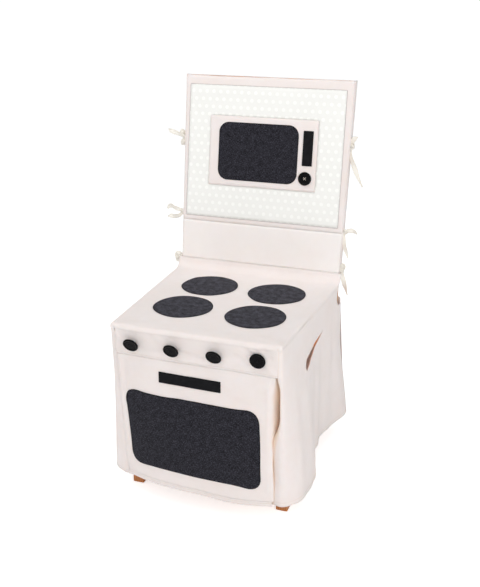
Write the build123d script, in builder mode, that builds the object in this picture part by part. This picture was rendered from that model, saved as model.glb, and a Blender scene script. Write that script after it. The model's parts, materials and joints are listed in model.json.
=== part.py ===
from build123d import *

import os
from math import cos, hypot, radians, sin

os.makedirs("parts", exist_ok=True)

# A cloth play kitchen that slips over a wooden dining chair: a hob on the seat, an oven
# door in front and a microwave on the chair's back.  Millimetres, +Z up, the front faces -Y.
# Heights are measured from the floor and depths from the front edge of the hob.

# ---------------------------------------------------------------- driving dimensions
# the origin stands on the floor, under the middle of the whole chair
front_y = -258.0

# cloth and fits
cloth = 1.6  # canvas with its lining
applique = 1.2  # denim and webbing sewn on top
sewn = 0.05  # between a piece and what is sewn on it
ease = 0.3  # what the cover is larger than the wood, on each face

# hob, the cloth over the seat
seat_height = 450.0
hob_front_width = 401.0
hob_rear_width = 439.0
hob_depth = 441.0
hob_roll = 9.0  # radius over the seat's front edge
cove_rise = 25.0  # the hob sweeps up this far to the foot of the back cover
burner_radius = 70.8
burner_front_x, burner_front_depth = 90.0, 152.6
burner_rear_x, burner_rear_depth = 88.2, 317.2

# oven front
strip_height = 61.0  # control strip, below the hob's rolled edge
flap_seam_rise, flap_turn_rise, flap_turn_drop = 38.0, 4.0, 8.0  # the flap behind it, from the strip's lower seam
flap_set_back = 5.5
door_left, door_right = -185.5, 181.0
door_gap = 1.5  # between the door's side edges and the side panels
door_top_gap = 2.0
hem_height = 49.0  # lower edge of the skirt above the floor
band_height = 11.0  # stitched hem band that carries the door
hinge_gap = 0.6
window_left, window_right = -164.5, 153.5
window_drop_left, window_drop_right = 83.0, 103.0  # its upper corners, below the strip
window_rise_left, window_rise_right = 53.0, 42.0  # its lower corners, above the hem band
window_lean = 4.5  # its left side leans out towards the top, its right side in by half
window_sag, window_belly = 2.5, 3.0  # its upper edge sags, its right side swells
window_corner = 32.0
handle_left, handle_right = -86.0, 64.0
handle_drop, handle_width = 30.0, 26.0
webbing = 2.0
tape_height, tape_margin, tape_inset, tape_corner = 20.0, 3.0, 14.0, 3.0

# the side hand slot, in the right side panel
slot_width = 10.0
slot_front_depth, slot_front_drop = 149.0, 103.0  # drops are measured from the hob
slot_rear_depth, slot_rear_drop = 278.0, 75.0

# open corners where the back posts come out of the skirt
post_opening_reach = 34.0
post_opening_half = 28.0
post_opening_drop = 30.0
skirt_rear_depth = 520.0  # how far the side panels reach back at the hem
corner_gap = 2.2  # open seam between a side panel and the rear skirt

# the corner of the right side panel, pulled open beside the door
pulled_high, pulled_low = 76.0, 166.0  # where the opening ends, below the strip
pulled_reach = 3.0  # cloth that stays at the corner

# back cover, leaning back with the chair
lean = 8.4
cover_height = 477.0
cover_foot_width = 428.6
cover_top_width = 440.0
cover_depth = 25.0
cover_fold = 101.3  # seam between the plain lower panel and the border
dots_left, dots_right = -208.0, 203.6
dots_rise, dots_drop = 12.9, 24.5  # border below the dotted panel, and above it

# microwave
micro_left, micro_right = -146.0, 137.0
micro_low, micro_high = 201.0, 375.0
micro_gap = 0.8
micro_stand = 0.4  # how far the door's face stands proud of the border
pocket_depth = 12.8
pocket_wall = 1.2
glass_left, glass_right = -124.0, 86.0
glass_low, glass_high = 217.0, 361.0
glass_corner = 25.0
pull_x, pull_width = 111.5, 27.0
pull_low, pull_high = 262.6, 353.0
button_x, button_rise = 111.0, 231.6

# buttons
knob_radius, knob_thickness = 18.0, 5.0
knob_rise = 34.0  # above the strip's lower seam
knob_places = {
    "knob_left_outer": (-149.0, 24.0),
    "knob_left_inner": (-51.0, 24.0),
    "knob_right_inner": (50.0, 24.0),
    "knob_right_outer": (149.0, 7.0),
}  # place along the strip, droop in degrees
button_radius, button_thickness = 17.0, 4.5
rim_width, dish_depth = 3.6, 1.4
rim_swell, rim_fall = 0.2, 1.6  # the rim's crown above its inner edge, and its outer edge below
button_bevel = 1.5
thread_hole_radius, thread_hole_circle = 1.3, 3.6
shank_radius, shank_tip = 2.6, 1.2
knob_rim_clearance = 0.8

# chair
seat_thickness = 22.0
seat_reveal = 3.5
seat_corner, seat_nose = 10.0, 7.0
leg_front_depth = 70.0
leg_outer_x = 200.0
leg_top, leg_foot = 36.0, 28.5
apron_height, apron_thickness = 82.0, 20.0
apron_setback = 3.0
apron_arch = 14.0
post_width = 28.0
post_outer_x = 211.5
post_foot_outer_x, post_foot_width = 180.0, 25.0  # the rear legs draw in below the seat
post_inset = 1.0  # the post's front face, before the hob's rear edge
post_bend_drop = 6.0  # the splay starts this far below the aprons
post_foot_depth, post_foot_thickness = 497.0, 23.0
post_bend_radius = 60.0
crest_height = 50.0
crest_corner = 10.0
rail_low, rail_height, rail_thickness = 60.0, 35.0, 16.0
slat_count, slat_width, slat_thickness, slat_pitch = 4, 34.0, 6.6, 88.0
block_height, block_reach = 38.0, 34.0
screw_radius, screw_head_radius, screw_head = 2.2, 4.4, 3.0
screw_bite, screw_clearance = 12.0, 0.2
screw_inset, screw_side_inset = 11.0, 19.0

# ties
tie_width, tie_thickness = 12.0, 1.4
knot_size, knot_round = 11.0, 3.0

# ---------------------------------------------------------------- worked out
tilt = radians(lean)
rear_y = front_y + hob_depth
hob_under = seat_height - cloth
roll_end = seat_height - hob_roll
strip_low = roll_end - strip_height
door_high = strip_low - door_top_gap
band_top = hem_height + band_height
door_low = band_top + hinge_gap
cover_foot = seat_height + cove_rise
cover_inside = cloth + ease
dots_low, dots_high = cover_fold + dots_rise, cover_height - dots_drop
handle_high = strip_low - handle_drop
knob_height = strip_low + knob_rise
slot_front_height, slot_rear_height = seat_height - slot_front_drop, seat_height - slot_rear_drop
post_opening_height = seat_height - post_opening_drop
post_seat_depth = hob_depth - post_inset
seat_top = hob_under - ease
seat_low = seat_top - seat_thickness
apron_low = seat_low - apron_height
back_plane = Plane(
    origin=(0, rear_y, cover_foot), x_dir=(1, 0, 0), z_dir=(0, -cos(tilt), sin(tilt))
)


def back_point(rise, proud):
    """(y, z) of a point on the leaning back: rise along it, proud of the cover's face."""
    return (
        rear_y + rise * sin(tilt) - proud * cos(tilt),
        cover_foot + rise * cos(tilt) + proud * sin(tilt),
    )


def hob_half_width(depth):
    """Half the hob's width at a depth behind its front edge."""
    return (hob_front_width + (hob_rear_width - hob_front_width) * depth / hob_depth) / 2


def cover_half_width(rise):
    """Half the back cover's width at a rise above its foot."""
    return (cover_foot_width + (cover_top_width - cover_foot_width) * rise / cover_height) / 2


def finish(part_builder, name):
    """Label a piece and write it to its own file."""
    part_builder.part.label = name
    export_step(part_builder.part, f"parts/{name}.step")


# ---------------------------------------------------------------- cloth walls in plan
slack = 0.3  # the least that a straight stretch of cloth swells between two points
# A cloth line is a list of (x, depth, bulge): points run anticlockwise seen from above,
# and bulge is how far the arc to the next point swells outwards.
front_low_line = [
    (door_left, 24.0, 2.5), (-98.0, -3.0, 2.0), (20.0, -11.0, 1.4), (125.0, -7.0, 1.6),
    (door_right, 5.0, 0.0),
]
door_high_line = [(x, 0.0, slack) for x, _, _ in front_low_line]

right_edge = door_right + door_gap
right_high_line = [
    (right_edge, 0.0, slack), (hob_front_width / 2 - hob_roll, 0.0, 2.6),
    (hob_half_width(hob_roll), hob_roll, slack), (hob_half_width(105.0), 105.0, slack),
    (hob_half_width(200.0), 200.0, slack), (hob_half_width(300.0), 300.0, slack),
    (hob_half_width(375.0), 375.0, slack), (hob_rear_width / 2, hob_depth, slack),
]
right_low_line = [
    (right_edge, 5.0, 0.5), (200.0, 8.0, 9.0), (237.0, 48.0, 5.0), (240.0, 140.0, 4.0),
    (222.0, 228.0, -5.0), (200.0, 318.0, -6.0), (212.0, 425.0, 2.0), (226.0, skirt_rear_depth, 0.0),
]
left_edge = door_left - door_gap
left_high_line = [
    (-hob_rear_width / 2, hob_depth, slack), (-hob_half_width(360.0), 360.0, slack),
    (-hob_half_width(270.0), 270.0, slack), (-hob_half_width(170.0), 170.0, slack),
    (-hob_half_width(80.0), 80.0, slack), (-hob_half_width(hob_roll), hob_roll, 2.6),
    (hob_roll - hob_front_width / 2, 0.0, slack), (left_edge, 0.0, slack),
]
left_low_line = [
    (-226.0, skirt_rear_depth, 3.0), (-214.0, 410.0, -6.0), (-206.0, 310.0, -4.0), (-226.0, 210.0, 5.0),
    (-238.0, 115.0, 5.0), (-228.0, 46.0, 6.0), (-204.0, 27.0, 0.6), (left_edge, 24.0, 0.0),
]
skirt_depth = back_point(-post_opening_half, -cover_depth)[0] - front_y + 1.0
rear_high_line = [
    (hob_rear_width / 2, hob_depth + corner_gap, 2.0), (cover_foot_width / 2 - 2.0, skirt_depth, slack),
    (105.0, skirt_depth, slack), (0.0, skirt_depth, slack), (-105.0, skirt_depth, slack),
    (2.0 - cover_foot_width / 2, skirt_depth, 2.0), (-hob_rear_width / 2, hob_depth + corner_gap, slack),
]
rear_low_line = [
    (226.0, skirt_rear_depth + corner_gap, 4.0), (214.0, skirt_rear_depth + 14.0, -6.0),
    (105.0, skirt_rear_depth + 7.0, 7.0), (0.0, skirt_rear_depth + 7.0, -7.0),
    (-105.0, skirt_rear_depth + 9.0, 6.0), (-214.0, skirt_rear_depth + 14.0, 4.0),
    (-226.0, skirt_rear_depth + corner_gap, 0.0),
]


def moved_inwards(line, distance):
    """The points of a cloth line, moved to the inside of the cover by a distance."""
    points = []
    for i, (x, depth, _) in enumerate(line):
        ax, ay, _ = line[max(i - 1, 0)]
        bx, by, _ = line[min(i + 1, len(line) - 1)]
        length = hypot(bx - ax, by - ay)
        points.append((x - (by - ay) / length * distance,
                       front_y + depth + (bx - ax) / length * distance))
    return points


def bowed(a, b, bulge):
    """A line from a to b, or an arc that swells by bulge to the right of the way."""
    if abs(bulge) < 1e-6:
        Line(a, b)
        return
    length = hypot(b[0] - a[0], b[1] - a[1])
    middle = ((a[0] + b[0]) / 2 + (b[1] - a[1]) / length * bulge,
              (a[1] + b[1]) / 2 - (b[0] - a[0]) / length * bulge)
    ThreePointArc(a, middle, b)


def cloth_section(line, height, near, far):
    """Section of a cloth sheet between two depths inside its outer line."""
    outer, inner = moved_inwards(line, near), moved_inwards(line, far)
    with BuildSketch(Plane.XY.offset(height)) as section:
        with BuildLine():
            for i in range(len(line) - 1):
                bowed(outer[i], outer[i + 1], line[i][2])
            Line(outer[-1], inner[-1])
            for i in reversed(range(len(line) - 1)):
                bowed(inner[i + 1], inner[i], -line[i][2])
            Line(inner[0], outer[0])
        make_face()
    return section.sketch


def hanging_cloth(high_line, high, low_line, low, near=0.0, far=cloth):
    """A sheet that hangs straight from its upper line to its lower line."""
    loft([cloth_section(high_line, high, near, far), cloth_section(low_line, low, near, far)], ruled=True)


def side_opening(x):
    """The open corner where a back post comes out of the skirt, cut at one side."""
    with BuildSketch(Plane.YZ.offset(x)) as opening:
        with Locations((rear_y, post_opening_height)):
            Ellipse(post_opening_reach, post_opening_half)
    extrude(opening.sketch, amount=40, both=True, mode=Mode.SUBTRACT)


# ---------------------------------------------------------------- the wooden chair
block_spots = {
    "front_left": (-1, True), "front_right": (1, True),
    "rear_left": (-1, False), "rear_right": (1, False),
}
front_apron_depth = leg_front_depth + apron_setback
side_apron_front = leg_front_depth + leg_top
side_apron_front_x = leg_outer_x - apron_setback
side_apron_rear_x = side_apron_front_x + 8.0
post_inner_x = post_outer_x - post_width
rear_apron_depth = post_seat_depth + 1.0
rear_apron_thickness = apron_thickness - 2.0
front_block_depth = front_apron_depth + apron_thickness
front_block_x = leg_outer_x - leg_top - block_reach
rear_block_x = side_apron_rear_x - apron_thickness - block_reach


def screw_place(side, front):
    """(x, y) of the seat screw through one corner block."""
    if front:
        return (side * (front_block_x + screw_side_inset), front_y + front_block_depth + screw_inset)
    return (side * (rear_block_x + screw_side_inset), front_y + rear_apron_depth - screw_inset)


screw_places = [screw_place(side, front) for side, front in block_spots.values()]
block_low = seat_low - block_height

with BuildPart() as seat_board:
    with BuildSketch(Plane.XY.offset(seat_top)):
        with BuildLine():
            front_half = hob_half_width(0) - seat_reveal
            rear_half = hob_half_width(post_seat_depth) - seat_reveal
            rear_edge = front_y + rear_apron_depth + rear_apron_thickness
            notch_y = front_y + post_seat_depth - ease
            notch_x = post_inner_x - ease
            Polyline(
                (-front_half, front_y + cover_inside), (front_half, front_y + cover_inside),
                (rear_half, notch_y), (notch_x, notch_y), (notch_x, rear_edge),
                (-notch_x, rear_edge), (-notch_x, notch_y), (-rear_half, notch_y), close=True,
            )
        make_face()
    extrude(amount=-seat_thickness)
    fillet(seat_board.edges().filter_by(Axis.Z).sort_by(Axis.Y)[:2], radius=seat_corner)
    fillet(seat_board.faces().sort_by(Axis.Z)[-1].edges().sort_by(Axis.Y)[:3], radius=seat_nose)
    with Locations(*[(x, y, seat_low) for x, y in screw_places]):
        Cylinder(screw_radius + screw_clearance, screw_bite + 1.0, mode=Mode.SUBTRACT,
                 align=(Align.CENTER, Align.CENTER, Align.MIN))
finish(seat_board, "seat_board")


def front_leg(side):
    """A square leg that tapers on its two inner faces down to the foot."""
    with BuildPart() as leg:
        for height, size in ((0.0, leg_foot), (seat_low, leg_top)):
            with BuildSketch(Plane.XY.offset(height)):
                with Locations((side * (leg_outer_x - size / 2), front_y + leg_front_depth + size / 2)):
                    Rectangle(size, size)
        loft()
        fillet(leg.edges().filter_by(lambda e: e.length > seat_low / 2), radius=2.5)
        chamfer(leg.faces().sort_by(Axis.Z)[0].edges(), length=1.5)
    return leg


def back_post(side):
    """Rear leg and back post in one: its leg splays back and draws in, its post leans."""
    crest_foot = cover_height - cloth - ease - crest_height
    inside, outside = -cover_inside, ease + cloth - cover_depth
    bend = apron_low - post_bend_drop
    lean_start = (post_seat_depth - hob_depth + inside * cos(tilt)) / sin(tilt)
    with BuildPart() as post:
        with BuildSketch(Plane.YZ.offset(side * post_outer_x / 2)):
            with BuildLine():
                Polyline(
                    (front_y + post_foot_depth, 0), (front_y + post_foot_depth + post_foot_thickness, 0),
                    (back_point(-cove_rise, outside)[0], bend), back_point(-cove_rise, outside),
                    back_point(crest_foot, outside), back_point(crest_foot, inside),
                    back_point(lean_start, inside), (front_y + post_seat_depth, bend), close=True,
                )
            make_face()
        extrude(amount=post_outer_x / 2, both=True)
        bends = post.edges().filter_by(Axis.X).filter_by(
            lambda e: bend - 1.0 < e.center().Z < seat_height + cove_rise)
        fillet(bends, radius=post_bend_radius)
        with BuildSketch(Plane.XZ) as face:
            with BuildLine():
                Polyline(
                    (side * (post_foot_outer_x - post_foot_width), 0), (side * post_foot_outer_x, 0),
                    (side * post_outer_x, bend), (side * post_outer_x, 2 * cover_height),
                    (side * post_inner_x, 2 * cover_height), (side * post_inner_x, bend), close=True,
                )
            make_face()
            fillet([v for v in face.vertices() if abs(v.Y - bend) < 1.0 or abs(v.Z - bend) < 1.0],
                   radius=post_bend_radius)
        extrude(amount=skirt_rear_depth, both=True, mode=Mode.INTERSECT)
        fillet(post.faces().sort_by(Axis.Z)[0].edges().filter_by(Axis.Y), radius=2.0)
    return post


for word, sign in (("left", -1), ("right", 1)):
    finish(front_leg(sign), f"front_leg_{word}")
    finish(back_post(sign), f"back_post_{word}")


def arched_apron(half_length, face_depth, thickness, arch):
    """A cross rail under the seat with a shallow arch cut into its lower edge."""
    with BuildPart() as apron:
        with BuildSketch(Plane.XZ.offset(-(front_y + face_depth))):
            with BuildLine():
                Line((-half_length, seat_low), (half_length, seat_low))
                Line((half_length, seat_low), (half_length, apron_low))
                ThreePointArc((half_length, apron_low), (0, apron_low + arch), (-half_length, apron_low))
                Line((-half_length, apron_low), (-half_length, seat_low))
            make_face()
        extrude(amount=-thickness)
    return apron


finish(arched_apron(leg_outer_x - leg_top, front_apron_depth, apron_thickness, apron_arch), "front_apron")
finish(arched_apron(post_inner_x, rear_apron_depth, rear_apron_thickness, apron_arch), "rear_apron")


def side_apron(side):
    """A side rail from the front leg to the back post, following the widening seat."""
    with BuildPart() as apron:
        with BuildSketch(Plane.XY.offset(apron_low)):
            with BuildLine():
                Polyline(
                    (side * side_apron_front_x, front_y + side_apron_front),
                    (side * side_apron_rear_x, front_y + post_seat_depth),
                    (side * (side_apron_rear_x - apron_thickness), front_y + post_seat_depth),
                    (side * (side_apron_front_x - apron_thickness), front_y + side_apron_front),
                    close=True,
                )
            make_face()
        extrude(amount=apron_height)
    return apron


def corner_block(side, front):
    """A glued block in one corner of the seat frame, bored for its seat screw."""
    leg_inner = leg_outer_x - leg_top - ease
    rail_inner = side_apron_front_x - apron_thickness - ease
    with BuildPart() as block:
        with BuildSketch(Plane.XY.offset(block_low)):
            with BuildLine():
                if front:
                    near, mid = front_y + front_block_depth, front_y + side_apron_front + ease
                    Polyline(
                        (side * front_block_x, near), (side * leg_inner, near), (side * leg_inner, mid),
                        (side * rail_inner, mid), (side * rail_inner, mid + block_reach), close=True,
                    )
                else:
                    far = front_y + rear_apron_depth
                    side_x = side_apron_rear_x - apron_thickness - 4 * ease
                    Polyline(
                        (side * rear_block_x, far), (side * (post_inner_x - ease), far),
                        (side * (post_inner_x - ease), front_y + post_seat_depth - ease),
                        (side * side_x, front_y + post_seat_depth - ease),
                        (side * side_x, far - block_reach), close=True,
                    )
            make_face()
        extrude(amount=block_height)
        x, y = screw_place(side, front)
        with Locations((x, y, block_low)):
            Cylinder(screw_radius + screw_clearance, block_height, mode=Mode.SUBTRACT,
                     align=(Align.CENTER, Align.CENTER, Align.MIN))
    return block


for word, sign in (("left", -1), ("right", 1)):
    finish(side_apron(sign), f"side_apron_{word}")
for spot, (sign, at_front) in block_spots.items():
    finish(corner_block(sign, at_front), f"corner_block_{spot}")

with BuildPart() as seat_screws:
    with Locations(*[(x, y, block_low) for x, y in screw_places]):
        Cylinder(screw_radius, block_height + screw_bite, align=(Align.CENTER, Align.CENTER, Align.MIN))
        Cylinder(screw_head_radius, screw_head, align=(Align.CENTER, Align.CENTER, Align.MAX))
finish(seat_screws, "seat_screws")

crest_top = cover_height - cloth - ease
wood_depth = cover_depth - 2 * cover_inside
with BuildPart() as crest_rail:
    with BuildSketch(back_plane.offset(-cover_inside)):
        with BuildLine():
            top_half = cover_half_width(crest_top) - cover_inside
            low_half = cover_half_width(crest_top - crest_height) - cover_inside
            Polyline(
                (-low_half, crest_top - crest_height), (low_half, crest_top - crest_height),
                (top_half, crest_top), (-top_half, crest_top), close=True,
            )
        make_face()
    extrude(amount=-wood_depth)
    corners = crest_rail.edges().filter_by(lambda e: abs(e.length - wood_depth) < 0.01)
    fillet(corners.sort_by(Axis.Z)[-2:], radius=crest_corner)
finish(crest_rail, "crest_rail")

with BuildPart() as lower_back_rail:
    with BuildSketch(back_plane.offset(-cover_inside - wood_depth)):
        with Locations((0, rail_low + rail_height / 2)):
            Rectangle(2 * post_inner_x, rail_height)
    extrude(amount=rail_thickness)
    fillet(lower_back_rail.edges().filter_by(Axis.X), radius=3.0)
finish(lower_back_rail, "lower_back_rail")

slat_foot = rail_low + rail_height
slat_length = crest_top - crest_height - slat_foot
for index in range(slat_count):
    with BuildPart() as slat:
        with BuildSketch(back_plane.offset(-cover_inside - wood_depth)):
            with Locations(((index - (slat_count - 1) / 2) * slat_pitch, slat_foot + slat_length / 2)):
                Rectangle(slat_width, slat_length)
        extrude(amount=slat_thickness)
        fillet(slat.edges().filter_by(lambda e: e.length > slat_length - 1), radius=2.0)
    finish(slat, f"back_slat_{index + 1}")

# ---------------------------------------------------------------- the cloth hob
with BuildPart() as hob_panel:
    cove_y, roll_y = rear_y - cove_rise, front_y + hob_roll
    turn = sin(radians(45))
    with BuildSketch(Plane.YZ):
        with BuildLine():
            ThreePointArc((front_y, roll_end), (roll_y - hob_roll * turn, roll_end + hob_roll * turn),
                          (roll_y, seat_height))
            Line((roll_y, seat_height), (cove_y, seat_height))
            ThreePointArc((cove_y, seat_height),
                          (cove_y + cove_rise * turn, cover_foot - cove_rise * turn),
                          (rear_y, cover_foot))
            Line((rear_y, cover_foot), (rear_y + cloth, cover_foot))
            under = cove_rise + cloth
            ThreePointArc((rear_y + cloth, cover_foot), (cove_y + under * turn, cover_foot - under * turn),
                          (cove_y, hob_under))
            Line((cove_y, hob_under), (roll_y, hob_under))
            inner_roll = hob_roll - cloth
            ThreePointArc((roll_y, hob_under), (roll_y - inner_roll * turn, roll_end + inner_roll * turn),
                          (front_y + cloth, roll_end))
            Line((front_y + cloth, roll_end), (front_y, roll_end))
        make_face()
    extrude(amount=hob_rear_width, both=True)
    with BuildSketch(Plane.XY.offset(roll_end - cloth)):
        with BuildLine():
            Polyline(
                (-hob_front_width / 2, front_y), (hob_front_width / 2, front_y),
                (hob_rear_width / 2, rear_y), (hob_rear_width / 2, rear_y + 2 * cloth),
                (-hob_rear_width / 2, rear_y + 2 * cloth), (-hob_rear_width / 2, rear_y), close=True,
            )
        make_face()
    extrude(amount=cove_rise + hob_roll + 2 * cloth, mode=Mode.INTERSECT)
finish(hob_panel, "hob_panel")

burner_places = {
    "burner_front_left": (-burner_front_x, burner_front_depth),
    "burner_front_right": (burner_front_x, burner_front_depth),
    "burner_rear_left": (-burner_rear_x, burner_rear_depth),
    "burner_rear_right": (burner_rear_x, burner_rear_depth),
}
for name, (x, depth) in burner_places.items():
    with BuildPart() as burner:
        with BuildSketch(Plane.XY.offset(seat_height)):
            with Locations((x, front_y + depth)):
                Circle(burner_radius)
        extrude(amount=applique)
        fillet(burner.faces().sort_by(Axis.Z)[-1].edges(), radius=applique / 2)
    finish(burner, name)

# ---------------------------------------------------------------- the oven front and skirt
strip_left = hob_roll - hob_front_width / 2 + ease
strip_right = right_edge - ease
with BuildPart() as control_strip:
    with BuildSketch(Plane.XY.offset(strip_low)):
        with Locations(((strip_left + strip_right) / 2, front_y + cloth / 2)):
            Rectangle(strip_right - strip_left, cloth)
    extrude(amount=strip_height)
finish(control_strip, "control_strip")

# a facing behind the strip, set back so that the door's top closes in front of it
tape_low = strip_low - flap_turn_drop - tape_margin - tape_height
with BuildPart() as closure_flap:
    with BuildSketch(Plane.YZ.offset(door_left)):
        with BuildLine():
            near, far = front_y + cloth, front_y + cloth + flap_set_back
            seam, turn_high, turn_low = (
                strip_low + flap_seam_rise, strip_low + flap_turn_rise, strip_low - flap_turn_drop)
            flap_low = tape_low - tape_margin
            Polyline(
                (near, seam), (near, turn_high), (far, turn_low), (far, flap_low),
                (far + cloth, flap_low), (far + cloth, turn_low + cloth / 2),
                (near + cloth, turn_high + cloth / 2), (near + cloth, seam), close=True,
            )
        make_face()
    extrude(amount=door_right - door_left)
finish(closure_flap, "closure_flap")

tape_left, tape_right = door_left + tape_inset, door_right - tape_inset
with BuildPart() as loop_tape:
    with BuildSketch(Plane.XZ.offset(-(front_y + cloth + flap_set_back))):
        with Locations(((tape_left + tape_right) / 2, tape_low + tape_height / 2)):
            RectangleRounded(tape_right - tape_left, tape_height, tape_corner)
    extrude(amount=applique)
finish(loop_tape, "loop_tape")

with BuildPart() as right_side_panel:
    hanging_cloth(right_high_line, hob_under, right_low_line, hem_height)
    with BuildSketch(Plane.YZ.offset(hob_front_width / 2)):
        slot_front = (front_y + slot_front_depth, slot_front_height)
        slot_rear = (front_y + slot_rear_depth, slot_rear_height)
        SlotCenterPoint(
            ((slot_front[0] + slot_rear[0]) / 2, (slot_front[1] + slot_rear[1]) / 2),
            slot_rear, slot_width,
        )
    extrude(amount=40, both=True, mode=Mode.SUBTRACT)
    side_opening(hob_rear_width / 2)
    # the corner of the cloth is pulled open beside the door
    with BuildSketch(Plane.XZ.offset(-front_y)):
        with BuildLine():
            corner_x = hob_front_width / 2 - pulled_reach
            Polyline(
                (right_edge - cloth, strip_low), (corner_x, strip_low), (corner_x, strip_low - pulled_high),
                (right_edge - cloth, strip_low - pulled_low), close=True,
            )
        make_face()
    extrude(amount=hob_roll, both=True, mode=Mode.SUBTRACT)
    with BuildSketch(Plane.XZ.offset(-front_y)):
        with Locations((hob_front_width / 2, roll_end + hob_roll)):
            Rectangle(hob_front_width / 2, 2 * hob_roll)
    extrude(amount=hob_roll, both=True, mode=Mode.SUBTRACT)
finish(right_side_panel, "right_side_panel")

with BuildPart() as left_side_panel:
    hanging_cloth(left_high_line, hob_under, left_low_line, hem_height)
    side_opening(-hob_rear_width / 2)
    with BuildSketch(Plane.XZ.offset(-front_y)):
        with Locations((-hob_front_width / 2, roll_end + hob_roll)):
            Rectangle(hob_front_width / 2, 2 * hob_roll)
    extrude(amount=hob_roll, both=True, mode=Mode.SUBTRACT)
    with BuildSketch(Plane.XZ.offset(-front_y)):
        with Locations((left_edge, (strip_low + roll_end) / 2)):
            Rectangle(2 * (strip_left - ease - left_edge + 0.02), strip_height + 2 * ease)
    extrude(amount=hob_roll, both=True, mode=Mode.SUBTRACT)
finish(left_side_panel, "left_side_panel")

with BuildPart() as rear_skirt:
    hanging_cloth(rear_high_line, seat_height - 0.2, rear_low_line, hem_height)
    side_opening(hob_rear_width / 2)
    side_opening(-hob_rear_width / 2)
finish(rear_skirt, "rear_skirt")

with BuildPart() as front_hem_band:
    band_line = [
        (left_edge + sewn, *front_low_line[0][1:]), *front_low_line[1:-1],
        (right_edge - sewn, *front_low_line[-1][1:]),
    ]
    extrude(cloth_section(band_line, hem_height, 0.0, cloth), amount=band_height)
finish(front_hem_band, "front_hem_band")


def door_layer(near, far, outline=None):
    """A layer of the oven door between two depths, cut to an outline seen from the front."""
    with BuildPart() as layer:
        hanging_cloth(door_high_line, door_high, front_low_line, door_low, near, far)
        if outline:
            extrude(outline, amount=60, both=True, mode=Mode.INTERSECT)
    return layer


# outlines of what is sewn to the door, seen from the front; the window was cut by eye, so its
# upper edge falls towards the right
with BuildSketch(Plane.XZ.offset(-front_y)) as window_outline:
    with BuildLine():
        high_left = (window_left - window_lean, strip_low - window_drop_left)
        high_right = (window_right - window_lean / 2, strip_low - window_drop_right)
        low_right = (window_right + window_lean / 2, band_top + window_rise_right)
        low_left = (window_left + window_lean, band_top + window_rise_left)
        bowed(high_left, high_right, window_sag)
        bowed(high_right, low_right, -window_belly)
        bowed(low_right, low_left, window_sag)
        bowed(low_left, high_left, slack)
    make_face()
    fillet(window_outline.vertices(), radius=window_corner)

with BuildSketch(Plane.XZ.offset(-front_y)) as handle_outline:
    with Locations(((handle_left + handle_right) / 2, handle_high - handle_width / 2)):
        Rectangle(handle_right - handle_left, handle_width)

with BuildSketch(Plane.XZ.offset(-front_y)) as hook_outline:
    with Locations(((tape_left + tape_right) / 2, tape_low + tape_height / 2)):
        RectangleRounded(tape_right - tape_left, tape_height, tape_corner)

finish(door_layer(0.0, cloth), "oven_door_panel")
finish(door_layer(-sewn - applique, -sewn, window_outline.sketch), "oven_window")
finish(door_layer(-sewn - webbing, -sewn, handle_outline.sketch), "oven_handle")
finish(door_layer(cloth + sewn, cloth + sewn + applique, hook_outline.sketch), "hook_tape")

# ---------------------------------------------------------------- the back cover


def cover_sheet(low, high, proud):
    """A sheet across the whole back cover, its face proud of the cover's front face."""
    with BuildSketch(back_plane.offset(proud)) as sheet:
        with BuildLine():
            low_half, high_half = cover_half_width(low), cover_half_width(high)
            Polyline((-low_half, low), (low_half, low), (high_half, high), (-high_half, high), close=True)
        make_face()
    extrude(sheet.sketch, amount=-cloth)


def panel_between(left, right, low, high, proud, thickness, corner=0.0, mode=Mode.ADD):
    """A rectangular layer of the back cover, its back face at a height over the cover's face."""
    with BuildSketch(back_plane.offset(proud)) as layer:
        with Locations(((left + right) / 2, (low + high) / 2)):
            if corner:
                RectangleRounded(right - left, high - low, corner)
            else:
                Rectangle(right - left, high - low)
    extrude(layer.sketch, amount=thickness, mode=mode)


with BuildPart() as cover_lower_panel:
    cover_sheet(ease, cover_fold, 0)
finish(cover_lower_panel, "cover_lower_panel")

with BuildPart() as cover_border:
    cover_sheet(cover_fold, cover_height, 0)
    panel_between(micro_left, micro_right, micro_low, micro_high, -cloth, cloth, mode=Mode.SUBTRACT)
finish(cover_border, "cover_border")

with BuildPart() as cover_dotted_panel:
    panel_between(dots_left, dots_right, dots_low, dots_high, 0, applique)
    panel_between(micro_left, micro_right, micro_low, micro_high, 0, applique, mode=Mode.SUBTRACT)
finish(cover_dotted_panel, "cover_dotted_panel")

with BuildPart() as cover_rear_panel:
    cover_sheet(-(cove_rise - cover_depth * sin(tilt)) / cos(tilt), cover_height, cloth - cover_depth)
finish(cover_rear_panel, "cover_rear_panel")

with BuildPart() as cover_top_gusset:
    with BuildSketch(back_plane.offset(-cloth)):
        with Locations((0, cover_height - cloth / 2)):
            Rectangle(2 * (cover_half_width(cover_height - cloth) - cloth), cloth)
    extrude(amount=-(cover_depth - 2 * cloth))
finish(cover_top_gusset, "cover_top_gusset")


def cover_gusset(side):
    """The side strip of the back cover, from its foot to its top."""
    with BuildPart() as gusset:
        with BuildSketch(back_plane.offset(-cloth)):
            with BuildLine():
                foot, top = cover_half_width(0), cover_half_width(cover_height)
                Polyline(
                    (side * foot, ease), (side * top, cover_height),
                    (side * (top - cloth), cover_height), (side * (foot - cloth), ease), close=True,
                )
            make_face()
        extrude(amount=-(cover_depth - 2 * cloth))
    return gusset


for word, sign in (("left", -1), ("right", 1)):
    finish(cover_gusset(sign), f"cover_gusset_{word}")

with BuildPart() as microwave_pocket:
    panel_between(micro_left - pocket_wall, micro_right + pocket_wall, micro_low - pocket_wall,
                  micro_high + pocket_wall, -cloth - pocket_depth - pocket_wall,
                  pocket_depth + pocket_wall)
    panel_between(micro_left, micro_right, micro_low, micro_high, -cloth - pocket_depth, pocket_depth,
                  mode=Mode.SUBTRACT)
finish(microwave_pocket, "microwave_pocket")

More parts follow.
